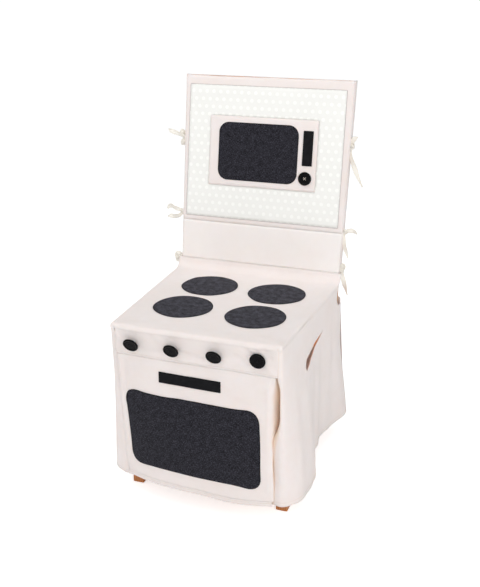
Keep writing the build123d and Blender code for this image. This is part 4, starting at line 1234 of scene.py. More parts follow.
def rim_outline(node, steps=130):
    """The outer line of a sewn patch seen from the front, from the faces of its cut edge."""
    mesh = frame["nodes"][node].data
    rim = {index for face in mesh.polygons if abs(face.normal.y) < 0.4 for index in face.vertices}
    corners = [(mesh.vertices[i].co.x, mesh.vertices[i].co.z) for i in rim]
    middle = [(min(axis) + max(axis)) / 2 for axis in zip(*corners)]
    corners.sort(key=lambda p: atan2(p[1] - middle[1], p[0] - middle[0]))
    path = ring_path([Vector((x, 0, z)) for x, z in corners])
    travelled = running(path)
    outline, index = [], 0
    for n in range(steps):
        distance = travelled[-1] * n / steps
        while travelled[index + 1] < distance:
            index += 1
        share = (distance - travelled[index]) / max(1e-9, travelled[index + 1] - travelled[index])
        point = path[index].lerp(path[index + 1], share)
        outline.append((point.x, point.z))
    return outline


# ---------------------------------------------------------------- hanging walls


DRAPE_PITCH = 88 * MM


class Wall:
    """A hanging cloth between its line round the seat and its line at the hem."""

    def __init__(self, node, seat_line, start, stop, seed):
        mesh = frame["nodes"][node].data
        tree = BVHTree.FromPolygons([v.co for v in mesh.vertices], [list(p.vertices) for p in mesh.polygons])
        low = min(v.co.z for v in mesh.vertices)
        hem = []
        for k in range(401):
            turn = radians(lerp(start, stop, k / 400))
            out = Vector((cos(turn), sin(turn), 0))
            hit = tree.ray_cast(Vector((0, 0, low + MM)) + out, -out)[0]
            if hit is not None and hit.dot(out) > 0.1:
                hem.append(Vector((hit.x, hit.y, 0)))
        self.hem, self.seat = self.even(hem), self.even(seat_line)
        self.high, self.low, self.seed = SEAT_Z - 4.6 * MM, low, seed
        self.width = running(self.hem)[-1]

    @staticmethod
    def even(line, count=240):
        """The line with its points spaced evenly."""
        travelled = running(line)
        placed, index = [], 0
        for n in range(count + 1):
            distance = travelled[-1] * n / count
            while index < len(line) - 2 and travelled[index + 1] < distance:
                index += 1
            share = (distance - travelled[index]) / max(1e-9, travelled[index + 1] - travelled[index])
            placed.append(line[index].lerp(line[index + 1], min(1.0, share)))
        return placed

    def plain(self, share, z):
        """A point on the wall before it is folded."""
        place_on = min(1.0, max(0.0, share)) * (len(self.hem) - 1)
        i = min(len(self.hem) - 2, int(place_on))
        top = self.seat[i].lerp(self.seat[i + 1], place_on - i)
        hem = self.hem[i].lerp(self.hem[i + 1], place_on - i)
        flat = top.lerp(hem, (SEAT_Z - CLOTH - z) / (SEAT_Z - CLOTH - self.low))
        return Vector((flat.x, flat.y, z))

    def out(self, share, z):
        """The outward direction, level with the floor."""
        step = 0.004
        run = self.plain(share + step, z) - self.plain(share - step, z)
        run.z = 0
        side = Vector((run.y, -run.x, 0)).normalized()
        return side if side.dot(self.plain(share, z)) > 0 else -side

    def push(self, share, z):
        """How far the folds stand out of the plain wall."""
        settings = bpy.context.scene.kitchen_cloth
        along = share * self.width
        hang = (self.high - z) / (self.high - self.low)
        waver = noise.noise(Vector((along * 9, z * 4, self.seed)))
        push = settings.drape * ease(hang) * sin(2 * pi * along / DRAPE_PITCH + 2.2 * waver + self.seed)
        narrow = noise.noise(Vector((along * 26, z * 3.2, self.seed + 2)))
        push += settings.drape * 0.5 * ease(hang * 2.5) * narrow
        push += settings.rumple * (0.6 + hang) * noise.noise(Vector((along * 13, z * 7, self.seed + 4)))
        push += settings.rumple * 0.35 * noise.noise(Vector((along * 40, z * 26, self.seed + 8)))
        return push * ease(share * 14) * ease((1 - share) * 14)

    def __call__(self, share, z):
        """A point on the folded cloth."""
        return self.plain(share, z) + self.out(share, z) * self.push(share, z)


def side_line(sign, edge):
    """The line of a side panel round the seat, from beside the door to the rear corner."""
    line = [Vector((edge, FRONT_Y, 0)), Vector((sign * (FRONT_HALF - ROLL), FRONT_Y, 0))]
    for k in range(1, 7):
        turn = radians(15 * k)
        x, y = FRONT_HALF - ROLL + ROLL * sin(turn), FRONT_Y + ROLL * (1 - cos(turn))
        line.append(Vector((sign * x, y, 0)))
    return line + [Vector((sign * REAR_HALF, REAR_Y, 0))]


# where the back posts come out of the skirt, and the ends of the side slot, in metres
POST_GAP_Z, POST_GAP_HALF, POST_GAP_REACH = SEAT_Z - 30 * MM, 28 * MM, 34 * MM
SLOT_FRONT, SLOT_REAR = (FRONT_Y + 138 * MM, SEAT_Z - 104 * MM), (FRONT_Y + 310 * MM, SEAT_Z - 79 * MM)
SLOT_OPENING = 15 * MM
# the corner beside the door: fully open down to PULL_HIGH below the strip, closed again at PULL_LOW
PULL_HIGH, PULL_LOW, PULL_REACH = 100 * MM, 205 * MM, 17 * MM


def post_gap(z):
    """How far the opening round a back post reaches at a height."""
    share = (z - POST_GAP_Z) / POST_GAP_HALF
    return POST_GAP_REACH * sqrt(1 - share * share) if abs(share) < 1 else 0.0


def pulled_open(z):
    """How far the right panel's front edge is drawn back beside the door at a height."""
    drop = strip_seam(RIGHT_SEAM) - z
    seam = RIGHT_SEAM - RIGHT_EDGE
    if drop < PULL_HIGH:
        return lerp(seam, PULL_REACH, ease(drop / (34 * MM)))
    return PULL_REACH * (1 - ease((drop - PULL_HIGH) / (PULL_LOW - PULL_HIGH)))


def left_seam(z):
    """How far the left panel's front edge lies beside the door at a height."""
    return LEFT_EDGE + LEFT_SEAM if z > strip_seam(-LEFT_SEAM) else 1.5 * MM


def side_rows(wall, slot=None, pulled=None, columns=132):
    """Rows of points of a side panel, with the slot's two lips as a doubled row."""
    seams = [HEM_Z + HEM_STITCH] + ([(SLOT_FRONT[1] + SLOT_REAR[1]) / 2] if slot else [])
    heights = spaced(wall.low, wall.high, 5 * MM, seams)
    rows, slit = [], None
    middle = (SLOT_FRONT[1] + SLOT_REAR[1]) / 2
    for z in heights:
        lips = (0,)
        if slot and abs(z - middle) < 1e-6:
            slit, lips = len(rows), (-1, 1)
        for lip in lips:
            row = []
            for i in range(columns + 1):
                share = i / columns * (0.55 + 0.45 * i / columns)
                start = pulled(z) / wall.width if pulled else 0.0
                stop = 1.0
                edge = wall.plain(1.0, z)
                gap = post_gap(z)
                if gap:
                    stop -= max(0.0, edge.y - (REAR_Y - gap)) / wall.width
                at = lerp(start, stop, share)
                height = z
                base = wall.plain(at, z)
                if slot:
                    height = slot(base.y, z, lip)
                point = wall(at, height)
                point.z = height + side_hem(point, height)
                if slot:
                    point += turned_in(at * wall.width, z)
                side = 1 if point.x > 0 else -1
                point.x += side * swell_out(side, point, z)
                row.append(point)
            if z < STRIP_LOW.z - 3 * MM:
                row = tucked_in(row, z, bool(slot)) + row
            else:
                row = [row[0]] * 3 + row
            rows.append(row)
    return rows, slit


def side_hem(point, z):
    """The side hems meet the front's risen hem and sink to the rear."""
    front = ease((-0.12 - point.y) / 0.13)
    corner = 4.0 * MM
    if point.x < 0:
        front += 2.6 * ease((-point.x - 0.196) / 0.03) * bell(point.y + 0.19, 0.09)
    return corner * front * bell(z - HEM_Z, 60 * MM)


def swell_out(side, point, z):
    """How far a side panel stands out past its plain shape."""
    past_corner = ease((abs(point.x) - 0.188) / (9 * MM))
    hang = (SEAT_Z - z) / (SEAT_Z - HEM_Z)
    if side < 0:
        return past_corner * LEFT_SWELL * (1 - 0.8 * hang)
    low = 5 * MM * bell(point.y - 0.05, 0.09) + 2.5 * MM * bell(point.y + 0.14, 0.08)
    low += 9 * MM * bell(point.y - 0.27, 0.07)
    waist = 5 * MM * bell(point.y - 0.22, 0.08) * bell(hang - 0.45, 0.22)
    return past_corner * (1.2 * MM * (1 - hang) + low * hang * hang - waist)


def tucked_in(row, z, right):
    """Three points that carry a panel's front edge in behind the oven door."""
    side = -1 if right else 1
    drop = STRIP_LOW.z - z
    reach, deep = 15 * MM, 4.5 * MM
    if right and drop < PULL_LOW:
        lap = 1 - ease((drop - 62 * MM) / (10 * MM))
        reach = lerp(reach * lerp(0.12, 1.0, ease((drop - PULL_HIGH) / (PULL_LOW - PULL_HIGH))), 4 * MM, lap)
        deep = lerp(deep, 30 * MM, lap)
    return [row[0] + Vector((side * reach * share, deep * depth, 0))
            for share, depth in ((1.0, 1.0), (0.6, 0.75), (0.25, 0.4))]


def turned_in(along, z):
    """The strip of cloth beside the door is turned in behind the door's edge."""
    drop = STRIP_LOW.z - z
    if drop < -4 * MM:
        return Vector((0, 0.6 * MM * bell(along, 4 * MM), 0))
    depth = 9 * MM * ease((drop + 4 * MM) / (60 * MM)) * (1 - 0.35 * ease((drop - 260 * MM) / (50 * MM)))
    share = max(0.0, 1 - along / (17.5 * MM))
    crease = bell(along - 19.5 * MM, 2.6 * MM) * ease((drop - 60 * MM) / (20 * MM)) * (
        1 - ease((drop - 225 * MM) / (25 * MM)))
    return Vector((0, depth * share + 0.9 * MM * crease, 0))


def slot_height(y, z, lip):
    """Height of a row near the side slot: it follows the slanting slot and opens at its lips."""
    middle = (SLOT_FRONT[1] + SLOT_REAR[1]) / 2
    share = (y - SLOT_FRONT[0]) / (SLOT_REAR[0] - SLOT_FRONT[0])
    line = lerp(SLOT_FRONT[1], SLOT_REAR[1], min(1.15, max(-0.15, share)))
    beyond = max(0.0, -share, share - 1) * (SLOT_REAR[0] - SLOT_FRONT[0])
    near = bell(z - middle, 38 * MM) * (1 - ease(beyond / (55 * MM)))
    height = z + (line - middle) * near
    if -0.02 < share < 1.02:
        run = min(1.0, max(0.0, share))
        opening = SLOT_OPENING * min(1.0, run / 0.06) ** 0.5 * min(1.0, (1 - run) / 0.94) ** 0.8
        side = lip if lip else (1 if z > middle else -1)
        height += side * opening * bell(z - middle, 26 * MM)
    return height


def build_sides(settings):
    """The two side panels and the rear skirt, with hems, the slot and the openings for the posts."""
    right = Wall("right_side_panel", side_line(1, RIGHT_EDGE), -62, 62, 1.3)
    left = Wall("left_side_panel", side_line(-1, LEFT_EDGE), 242, 118, 4.1)
    rows, slit = side_rows(right, slot_height, pulled_open)
    # painted shade: the first columns, tucked in behind the door, are marked Deep for a warm painted shade
    sew("right_side_cloth", rows, Vector((1, 0, 0)), replaces=["right_side_panel"], weld=True,
        skip=lambda i, j: j == slit, rests_on=["hob_cloth"], deep=lambda i, j: max(0.0, 1 - i / 5) * 0.9)
    lower, upper = rows[slit], rows[slit + 1]
    open_part = [i for i in range(3, len(lower)) if (upper[i] - lower[i]).length > 0.3 * MM]
    loop = [lower[i] for i in open_part] + [upper[i] for i in reversed(open_part)]
    bead("side_slot_binding", [p + Vector((0.2 * MM, 0, 0)) for p in loop], [Vector((1, 0, 0))] * len(loop),
         2.0 * MM, 2.0 * MM, "Ecru Canvas", "root", closed=True, sides=8)
    hem_seam("right_side_hem_seam", rows, settings)
    rows, _ = side_rows(left, pulled=left_seam)
    sew("left_side_cloth", rows, Vector((-1, 0, 0)), replaces=["left_side_panel"], rests_on=["hob_cloth"])
    hem_seam("left_side_hem_seam", rows, settings)
    rear_line = [Vector((x, SKIRT_Y, 0)) for x in (-COVER_FOOT_HALF, 0, COVER_FOOT_HALF)]
    rear = Wall("rear_skirt", rear_line, 133, 47, 7.7)
    rows = []
    for z in spaced(rear.low, SEAT_Z - 2 * MM, 5 * MM, (HEM_Z + HEM_STITCH,)):
        start = 0.0
        edge = rear.plain(0.0, z)
        if post_gap(z) > edge.y - REAR_Y:
            start = sqrt(max(0.0, 1 - ((edge.y - REAR_Y) / post_gap(z)) ** 2)) * 40 * MM / rear.width
        rows.append([rear(lerp(start, 1 - start, i / 120), z) for i in range(121)])
    sew("rear_skirt_cloth", rows, Vector((0, 1, 0)), replaces=["rear_skirt"], rests_on=["cover_rear_cloth"])
    hem_seam("rear_hem_seam", rows, settings)


def hem_seam(name, rows, settings):
    """The stitching along a hem, on the row that lies nearest to it."""
    wanted = HEM_Z + settings.hem
    row = min(rows, key=lambda points: abs(points[len(points) // 2].z - wanted))
    normals = []
    for i, point in enumerate(row):
        run = row[min(len(row) - 1, i + 1)] - row[max(0, i - 1)]
        side = Vector((run.y, -run.x, 0)).normalized()
        normals.append(side if side.dot(Vector((point.x, point.y, 0))) > 0 else -side)
    stitching(name, [p + n * 0.1 * MM for p, n in zip(row, normals)], normals, settings.stitch)


# ---------------------------------------------------------------- the back cover


def back_push(x, rise):
    """How far the back cover's cloth stands out of its plain face."""
    settings = bpy.context.scene.kitchen_cloth
    point = Vector((x, rise, 0))
    push = rumple(point, 0.09, settings.rumple * 0.55, 11.0)
    return push + rumple(point, 0.028, settings.rumple * 0.12, 6.0)


def back_surface(x, rise):
    """(point, normal) on the front of the back cover."""
    return on_back(x, rise, back_push(x, rise)), BACK_OUT


def back_panel(name, low, high, node, openings=None, proud=0.0, **sewing):
    """A panel across the whole back cover, its sides rounded towards the gussets."""
    rounding = 3 * MM
    xs = spaced(-1.0, 1.0, 0.02)
    if openings:
        left, right, opening_low, opening_high = openings
        half = cover_half((low + high) / 2)
        xs = sorted(set([x for x in xs if min(abs(x - left / half), abs(x - right / half)) > 0.008]
                        + [left / half, right / half]))
        heights = sorted(set([r for r in spaced(low, high, 7 * MM) if min(
            abs(r - opening_low), abs(r - opening_high)) > 2 * MM] + [opening_low, opening_high]))
    else:
        heights = spaced(low, high, 6 * MM)
    rows = []
    for rise in heights:
        row = []
        for share in xs:
            half = cover_half(rise)
            x = share * cover_half((low + high) / 2) if openings and abs(share) < 0.9 else share * half
            edge = half - abs(x)
            drop = rounding * max(0.0, 1 - edge / rounding) ** 2
            top = max(0.0, 1 - (COVER_TOP - rise) / rounding) ** 2 * rounding
            seam = 0.35 * MM * bell(rise - FOLD_RISE, 2 * MM)
            push = back_push(x, rise) * ease(edge / (20 * MM))
            row.append(on_back(x, rise, push + proud - drop - top - seam))
        rows.append(row)

    def inside(i, j):
        """Whether a face of the sheet lies in the opening."""
        if not openings:
            return False
        x = (rows[j][i].x + rows[j][i + 1].x) / 2
        rise = (heights[j] + heights[j + 1]) / 2
        return left < x < right and opening_low < rise < opening_high

    return sew(name, rows, BACK_OUT, replaces=[node], skip=inside, held="stretched",
               rests_on=["crest_rail"], **sewing)


def build_cover():
    """The back cover: front panels, gussets, rear panel and the pocket behind the microwave door."""
    gap = 0.8 * MM
    opening = (MICRO_LOW[0] - gap, MICRO_HIGH[0] + gap, MICRO_LOW[1] - gap, MICRO_HIGH[1] + gap)
    # painted light: the lower panel gets the lighter copy of the canvas, standing for light bounced onto it
    # from the hob
    back_panel("cover_lower_cloth", 0.0, FOLD_RISE, "cover_lower_panel", finish="Pale Canvas")
    back_panel("cover_border_cloth", FOLD_RISE, COVER_TOP, "cover_border", opening)
    for sign, word in ((-1, "left"), (1, "right")):
        rows = []
        for rise in spaced(0.3 * MM, COVER_TOP, 8 * MM):
            half = cover_half(rise)
            row = []
            for proud in spaced(-COVER_DEPTH + 1.5 * MM, -1.5 * MM, 4 * MM):
                swell = 0.8 * MM * noise.noise(Vector((proud * 60, rise * 22, sign * 3)))
                swell *= 1 - abs(proud + COVER_DEPTH / 2) / COVER_DEPTH * 2
                row.append(on_back(sign * (half + swell), rise, proud))
            rows.append(row)
        sew(f"cover_gusset_{word}_cloth", rows, Vector((sign, 0, 0)), replaces=[f"cover_gusset_{word}"],
            held="stretched", rests_on=["crest_rail"])
    rows = []
    for proud in spaced(-COVER_DEPTH + 1.5 * MM, -1.5 * MM, 4 * MM):
        half = cover_half(COVER_TOP)
        rows.append([on_back(x, COVER_TOP + 0.5 * MM * noise.noise(Vector((x * 25, proud * 50, 2))), proud)
                     for x in spaced(-half + 1.5 * MM, half - 1.5 * MM, 8 * MM)])
    sew("cover_top_cloth", rows, LEAN_UP, replaces=["cover_top_gusset"], held="stretched",
        rests_on=["crest_rail"])
    low = back_box("cover_rear_panel")[0][1]
    rows = []
    for rise in spaced(low, COVER_TOP, 9 * MM):
        half = cover_half(max(0.0, rise))
        row = []
        for i in range(65):
            x = (i / 32 - 1) * half
            push = back_push(x + 0.5, rise) * 1.6 * ease((half - abs(x)) / (25 * MM))
            drop = 3 * MM * max(0.0, 1 - (half - abs(x)) / (3 * MM)) ** 2
            row.append(on_back(x, rise, -COVER_DEPTH - push + drop))
        rows.append(row)
    sew("cover_rear_cloth", rows, -BACK_OUT, replaces=["cover_rear_panel"], held="hung",
        rests_on=["crest_rail"])
    build_pocket()
    build_dotted_panel(opening)


def build_pocket():
    """The cloth box that is sewn in behind the microwave door."""
    low, high = back_box("microwave_pocket")
    wall = 1.2 * MM
    left, right, bottom, top = low[0] + wall, high[0] - wall, low[1] + wall, high[1] - wall
    back, mouth = low[2] + wall, high[2]
    rows = []
    profile = [(bottom, mouth), (bottom, back)]
    profile += [(lerp(bottom, top, k / 12), back) for k in range(1, 12)] + [(top, back), (top, mouth)]
    for rise, proud in profile:
        row = [on_back(left, rise, mouth)]
        for k in range(21):
            uneven = 0.3 * MM * noise.noise(Vector((k, rise * 40, 1)))
            row.append(on_back(lerp(left, right, k / 20), rise, proud + uneven))
        row.append(on_back(right, rise, mouth))
        rows.append(row)
    sew("microwave_pocket_cloth", rows, BACK_OUT, replaces=["microwave_pocket"], thickness=0.8 * MM,
        held="stretched", rests_on=["cover_border_cloth"])


def build_dotted_panel(opening):
    """The dotted panel round the microwave, with a grey-mauve bead along its edges that paints the shadow at
    its raised edge.
    """
    left, right, low, high = DOTS_LOW[0], DOTS_HIGH[0], DOTS_LOW[1], DOTS_HIGH[1]
    xs = sorted(set(spaced(left, opening[0], 8 * MM) + spaced(opening[0], opening[1], 8 * MM)
                    + spaced(opening[1], right, 8 * MM)))
    rises = sorted(set(spaced(low, opening[2], 8 * MM) + spaced(opening[2], opening[3], 8 * MM)
                       + spaced(opening[3], high, 8 * MM)))
    rows = []
    for rise in rises:
        row = []
        for x in xs:
            edge = min(x - left, right - x, rise - low, high - rise)
            row.append(on_back(x, rise, back_push(x, rise) + 1.2 * MM - 0.9 * MM * bell(edge, 1.5 * MM)))
        rows.append(row)
    sew("dotted_cloth", rows, BACK_OUT, "Dotted Cotton", "dotted_cotton", replaces=["cover_dotted_panel"],
        skip=lambda i, j: opening[0] - MM < xs[i] and xs[i + 1] < opening[1] + MM
        and opening[2] - MM < rises[j] and rises[j + 1] < opening[3] + MM,
        thickness=0.9 * MM, held="stretched", rests_on=["cover_border_cloth"])
    outline = rounded_outline(left, right, low, high, 1.5 * MM, 8 * MM)
    # painted shadow: a grey-mauve bead along the panel's edge, standing for the shade at that edge
    satin_edge("dotted_seam", outline, back_surface, 0.3 * MM, "Seam Shade", "root",
               1.5 * MM, 0.9 * MM)


def build_microwave():
    """The microwave door with its window and handle."""
    over = 2.2 * MM
    left, right = MICRO_LOW[0] - over, MICRO_HIGH[0] + over
    low, high = MICRO_LOW[1] - over, MICRO_HIGH[1] + over

    def door_surface(x, rise):
        """The door's outer face and the direction it looks in."""
        edge = min(x - left, right - x, rise - low, high - rise)
        push = back_push(x, rise) + 0.6 * MM * ease(edge / (12 * MM))
        return on_back(x, rise, 1.2 * MM + CLOTH + 0.15 * MM + push), BACK_OUT

    rows = [[door_surface(x, rise)[0] for x in spaced(left, right, 5 * MM, (left + 8 * MM, right - 8 * MM))]
            for rise in spaced(low, high, 5 * MM, (low + 8 * MM, high - 8 * MM))]
    door = sew("microwave_door_cloth", rows, BACK_OUT, body=None, replaces=["microwave_door_panel"],
               held="stretched", rests_on=["cover_border_cloth"])
    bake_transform(door)
    box_low, box_high = back_box("microwave_window")
    outline = rounded_outline(box_low[0] + 2.6 * MM, box_high[0] + 2.2 * MM, box_low[1] - 1.4 * MM,
                              box_high[1] - 0.8 * MM, 25 * MM)
    patch("microwave_window_denim", outline, door_surface, 1.2 * MM, "Charcoal Denim",
          "microwave_door", ["microwave_window"], rings=12)
    satin_edge("microwave_window_edge", outline, door_surface, 0.8 * MM, "Dark Thread",
               "microwave_door")
    box_low, box_high = back_box("microwave_handle")
    outline = rounded_outline(box_low[0] + 3.2 * MM, box_high[0] + 2.0 * MM, box_low[1] + 0.4 * MM,
                              box_high[1] - 2.8 * MM, 0.8 * MM, 5 * MM)
    patch("microwave_handle_webbing", outline, door_surface, 2.0 * MM, "Black Webbing",
          "microwave_door", ["microwave_handle"], edge=0.6 * MM, rings=5)


def build_buttons():
    """The five buttons, each with the thread that crosses its four holes."""
    for name in KNOBS + ("microwave_button",):
        node = frame["nodes"][name]
        finish_cad(node, "Black Button")
        joint = JOINTS[f"{name}_turn"]
        out = Vector(joint["axis"]).normalized()
        base = Vector(joint["pos_m"])
        crown = max((p - base).dot(out) for p in node_points(name))
        if crown < 2 * MM:
            out = -out
            crown = max((p - base).dot(out) for p in node_points(name))
        across = Vector((1, 0, 0))
        up = out.cross(across)
        middle = base + out * (crown - 1.5 * MM)
        for index, (turn_a, turn_b) in enumerate(((45, 225), (135, 315))):
            a, b = ((across * cos(radians(t)) + up * sin(radians(t))) * 3.6 * MM for t in (turn_a, turn_b))
            path = [middle + a.lerp(b, k / 8) + out * (1.0 * MM * sin(pi * k / 8) - 0.5 * MM)
                    for k in range(9)]
            bead(f"{name}_thread_{index + 1}", path, [out] * 9, 1.1 * MM, 0.8 * MM,
                 "Ecru Thread" if name == "microwave_button" else "Dark Thread", name)


def finish_cad(node, finish):
    """Gives a CAD node that stays in view its finish and smooth shading."""
    node.data.materials.clear()
    node.data.materials.append(material(finish))
    node.data.shade_smooth()
    split = node.modifiers.new("Crisp edges", "EDGE_SPLIT")
    split.split_angle = radians(32)


# each tie in millimetres: side, rise of its knot, and its tails as (outwards, up, proud) points
TIES = {
    "tie_left_upper": (-1, 316, [
        [(2, 2, -12), (6, 12, -9), (11, 15, -8), (11, 5, -6), (5, 0, -8)],
        [(3, 0, -9), (18, 7, -5), (36, 11, -8), (45, 14, -10), (53, 18, -12)],
        [(3, -2, -12), (8, -10, -8), (10, -17, -9), (5, -12, -12), (2, -5, -13)]]),
    "tie_left_middle": (-1, 120, [
        [(4, 0, -9), (14, 5, -6), (27, 8, -8), (39, 13, -10), (48, 7, -12), (49, 1, -13)],
        [(3, -2, -11), (16, -12, -8), (32, -15, -10), (41, -15, -12), (50, -19, -14)]]),
    "tie_left_lower": (-1, -1, [
        [(2, 2, -10), (9, 8, -6), (17, 7, -7), (18, -1, -9), (9, -3, -9)],
        [(3, -2, -12), (9, -9, -9), (17, -10, -10), (18, -5, -11), (8, -2, -10)]]),
    "tie_right_upper": (1, 318, [
        [(1, 4, -13), (4, 14, -10), (9, 20, -9), (16, 24, -11)],
        [(-1, -6, -14), (0, -20, -11), (8, -38, -9), (15, -55, -10), (22, -72, -12), (36, -98, -15)]]),
    "tie_right_middle": (1, 106, [
        [(2, 0, -9), (14, 4, -6), (25, 4, -9), (35, -3, -13)],
        [(1, -3, -12), (1, -18, -10), (6, -38, -11), (15, -66, -13)]]),
    "tie_right_lower": (1, 16, [
        [(0, 1, -12), (5, 5, -9), (8, 1, -10), (5, -5, -12), (1, -3, -12)]]),
    "tie_right_seat": (1, 6, [
        [(2, 0, -10), (7, -12, -7), (14, -32, -8), (23, -60, -11)]]),
}
TAPE_WIDTH = 12 * MM


def smooth_line(points, steps=9):
    """A smooth line through its points."""
    ends = [points[0] * 2 - points[1]] + points + [points[-1] * 2 - points[-2]]
    line = []
    for a, b, c, d in zip(ends, ends[1:], ends[2:], ends[3:]):
        for k in range(steps):
            t = k / steps
            line.append(0.5 * ((2 * b) + (c - a) * t + (2 * a - 5 * b + 4 * c - d) * t * t
                               + (3 * b - a - 3 * c + d) * t ** 3))
    return line + [points[-1]]


def ribbon(builder, uv, line, width, hint, sway, seed):
    """A band of tape along a line, cupped across its width and swaying as it goes."""
    total = len(line) - 1
    travelled = running(line)
    grid = []
    for i, point in enumerate(line):
        run = (line[min(total, i + 1)] - line[max(0, i - 1)]).normalized()
        share = i / total
        side = run.cross(hint).normalized()
        lean = sway * sin(2.4 * share * pi + seed) * ease(share * 3)
        side = Matrix.Rotation(lean, 3, run) @ side
        out = side.cross(run)
        wide = width * (0.6 + 0.4 * ease(share * 3)) * (1 - 0.7 * ease((share - 0.7) / 0.3))
        row = []
        for k in range(5):
            across = k / 2 - 1
            row.append(builder.verts.new(
                point + side * (across * wide / 2) + out * ((across * across - 0.4) * 1.3 * MM)))
        grid.append(row)
    for i in range(total):
        for k in range(4):
            face = builder.faces.new((grid[i][k], grid[i][k + 1], grid[i + 1][k + 1], grid[i + 1][k]))
            face.smooth = True
            for loop, (a, b) in zip(face.loops, ((i, k), (i, k + 1), (i + 1, k + 1), (i + 1, k))):
                loop[uv].uv = (b / 4 * width, travelled[a])


def build_ties():
    """Cotton tapes tied in knots along the back cover's sides."""
    for name, (side, rise, tails) in TIES.items():
        builder = bmesh.new()
        uv = builder.loops.layers.uv.new("UVMap")
        rise = rise * MM
        edge = cover_half(rise)
        seed = rise * 70 + side

        def at(out, up, proud):
            """A place beside the tie's seam, in millimetres."""
            return on_back(side * (edge + out * MM), rise + up * MM, proud * MM)

        for number, tail in enumerate(tails):
            line = smooth_line([at(*p) for p in tail])
            ribbon(builder, uv, line, TAPE_WIDTH, BACK_OUT, 0.45, seed + number)
        centre = at(4, 0, -11)
        wrap = []
        for k in range(25):
            turn = 2 * pi * 1.6 * k / 24
            reach = (6.2 + 1.2 * sin(turn * 1.7 + seed)) * MM
            wrap.append(centre + LEAN_UP * (reach * sin(turn)) + BACK_OUT * (reach * cos(turn))
                        + Vector((side * (k / 24 - 0.5) * 5 * MM, 0, 0)))
        ribbon(builder, uv, wrap, 10 * MM, Vector((0, 0.02, 1)), 0.2, seed)
        builder.normal_update()
        area = sum(f.calc_area() for f in builder.faces)
        made = mesh_object(f"{name}_tape", builder)
        shell = made.modifiers.new("Tape thickness", "SOLIDIFY")
        shell.thickness, shell.offset = 0.7 * MM, 0
        finish_piece(made, "Cotton Tape", "root", [name])


def build_chair():
    """Varnish for the chair, which stays the frame's own."""
    along = {
        "Beech Upright": ("front_leg", "back_post", "back_slat"),
        "Beech Across": ("front_apron", "rear_apron", "crest_rail", "lower_back_rail", "seat_board"),
        "Beech Deep": ("side_apron", "corner_block"),
    }
    for finish, starts in along.items():
        for name, node in frame["nodes"].items():
            if name.startswith(starts):
                finish_cad(node, finish)
    finish_cad(frame["nodes"]["seat_screws"], "Plated Steel")


def build_studio(settings):
    """White floor, soft lamps and the camera."""
    scene = bpy.context.scene
    builder = bmesh.new()
    bmesh.ops.create_grid(builder, x_segments=8, y_segments=8, size=45.0)
    floor_object = mesh_object("studio_floor", builder)
    made, tree, shader = new_material("Studio Floor")
    shader.inputs["Base Color"].default_value = linear(250, 250, 250)
    shader.inputs["Roughness"].default_value = 0.95
    shader.inputs["Specular IOR Level"].default_value = 0.0
    seen = place(tree, "ShaderNodeLightPath").outputs
    glow = sum_of(tree, "MULTIPLY", seen["Is Camera Ray"], settings.floor)
    shader.inputs["Emission Color"].default_value = (1, 1, 1, 1)
    tree.links.new(glow, shader.inputs["Emission Strength"])
    floor_object.data.materials.append(made)

    world = scene.world or bpy.data.worlds.new("Studio")
    scene.world = world
    world.use_nodes = True
    tree = world.node_tree
    tree.nodes.clear()
    seen = place(tree, "ShaderNodeLightPath").outputs
    strength = place(tree, "ShaderNodeMapRange", {0: seen["Is Camera Ray"], 3: settings.sky, 4: 1.0})
    light = place(tree, "ShaderNodeBackground", {"Color": (1, 1, 1, 1), "Strength": strength.outputs[0]})
    output = place(tree, "ShaderNodeOutputWorld")
    tree.links.new(light.outputs[0], output.inputs[0])

    for name, power, size, spot, aim, tint in (
            ("key_lamp", settings.key, 3.6, (1.0, -3.1, 1.3), (0, 0, 0.5), (1, 1, 1)),
            ("top_lamp", settings.fill, 2.2, (-0.6, -0.6, 3.2), (0, 0, 0.5), (1, 1, 1)),
            ("right_lamp", settings.side, 2.0, (2.9, -1.0, 1.3), (0, 0, 0.5), (1, 1, 1)),
            ("left_lamp", settings.side * 0.65, 2.0, (-2.9, -1.0, 1.3), (0, 0, 0.5), (1, 1, 1)),
            ("inner_glow", settings.glow, 0.08, (0.06, FRONT_Y + 50 * MM, 0.25),
             (0.18, FRONT_Y + 70 * MM, 0.25), (1.0, 0.86, 0.7))):
        lamp = bpy.data.objects.new(name, bpy.data.lights.new(name, "AREA"))
        lamp.data.energy, lamp.data.size, lamp.data.color = power, size, tint
        lamp.location = spot
        lamp.rotation_euler = (Vector(aim) - Vector(spot)).to_track_quat("-Z", "Y").to_euler()
        lamp.visible_camera = False
        scene.collection.objects.link(lamp)

    camera = bpy.data.objects.new("photo_camera", bpy.data.cameras.new("photo_camera"))
    camera.data.lens = settings.lens
    camera.data.sensor_width = 36.0
    camera.data.clip_end = 200
    camera.location = settings.eye
    camera.rotation_euler = (pi / 2 - settings.pitch, 0, settings.yaw)
    scene.collection.objects.link(camera)
    scene.camera = camera
    scene.view_settings.view_transform = "Standard"


# ---------------------------------------------------------------- operators and panel


class KITCHEN_OT_chair(bpy.types.Operator):
    """Varnish the wooden chair under the cover"""
    bl_idname = "kitchen.chair"
    bl_label = "Chair"
    bl_options = {"REGISTER", "UNDO"}

    def execute(self, context):
        build_chair()
        return {"FINISHED"}


class KITCHEN_OT_hob(bpy.types.Operator):
    """Sew the hob with its four burners"""
    bl_idname = "kitchen.hob"
    bl_label = "Hob and Burners"
    bl_options = {"REGISTER", "UNDO"}

    def execute(self, context):
        build_hob(context.scene.kitchen_cloth)
        return {"FINISHED"}


class KITCHEN_OT_front(bpy.types.Operator):
    """Sew the control strip and the closure flap behind it"""
    bl_idname = "kitchen.front"
    bl_label = "Control Strip"
    bl_options = {"REGISTER", "UNDO"}

    def execute(self, context):
        build_front(context.scene.kitchen_cloth)
        return {"FINISHED"}


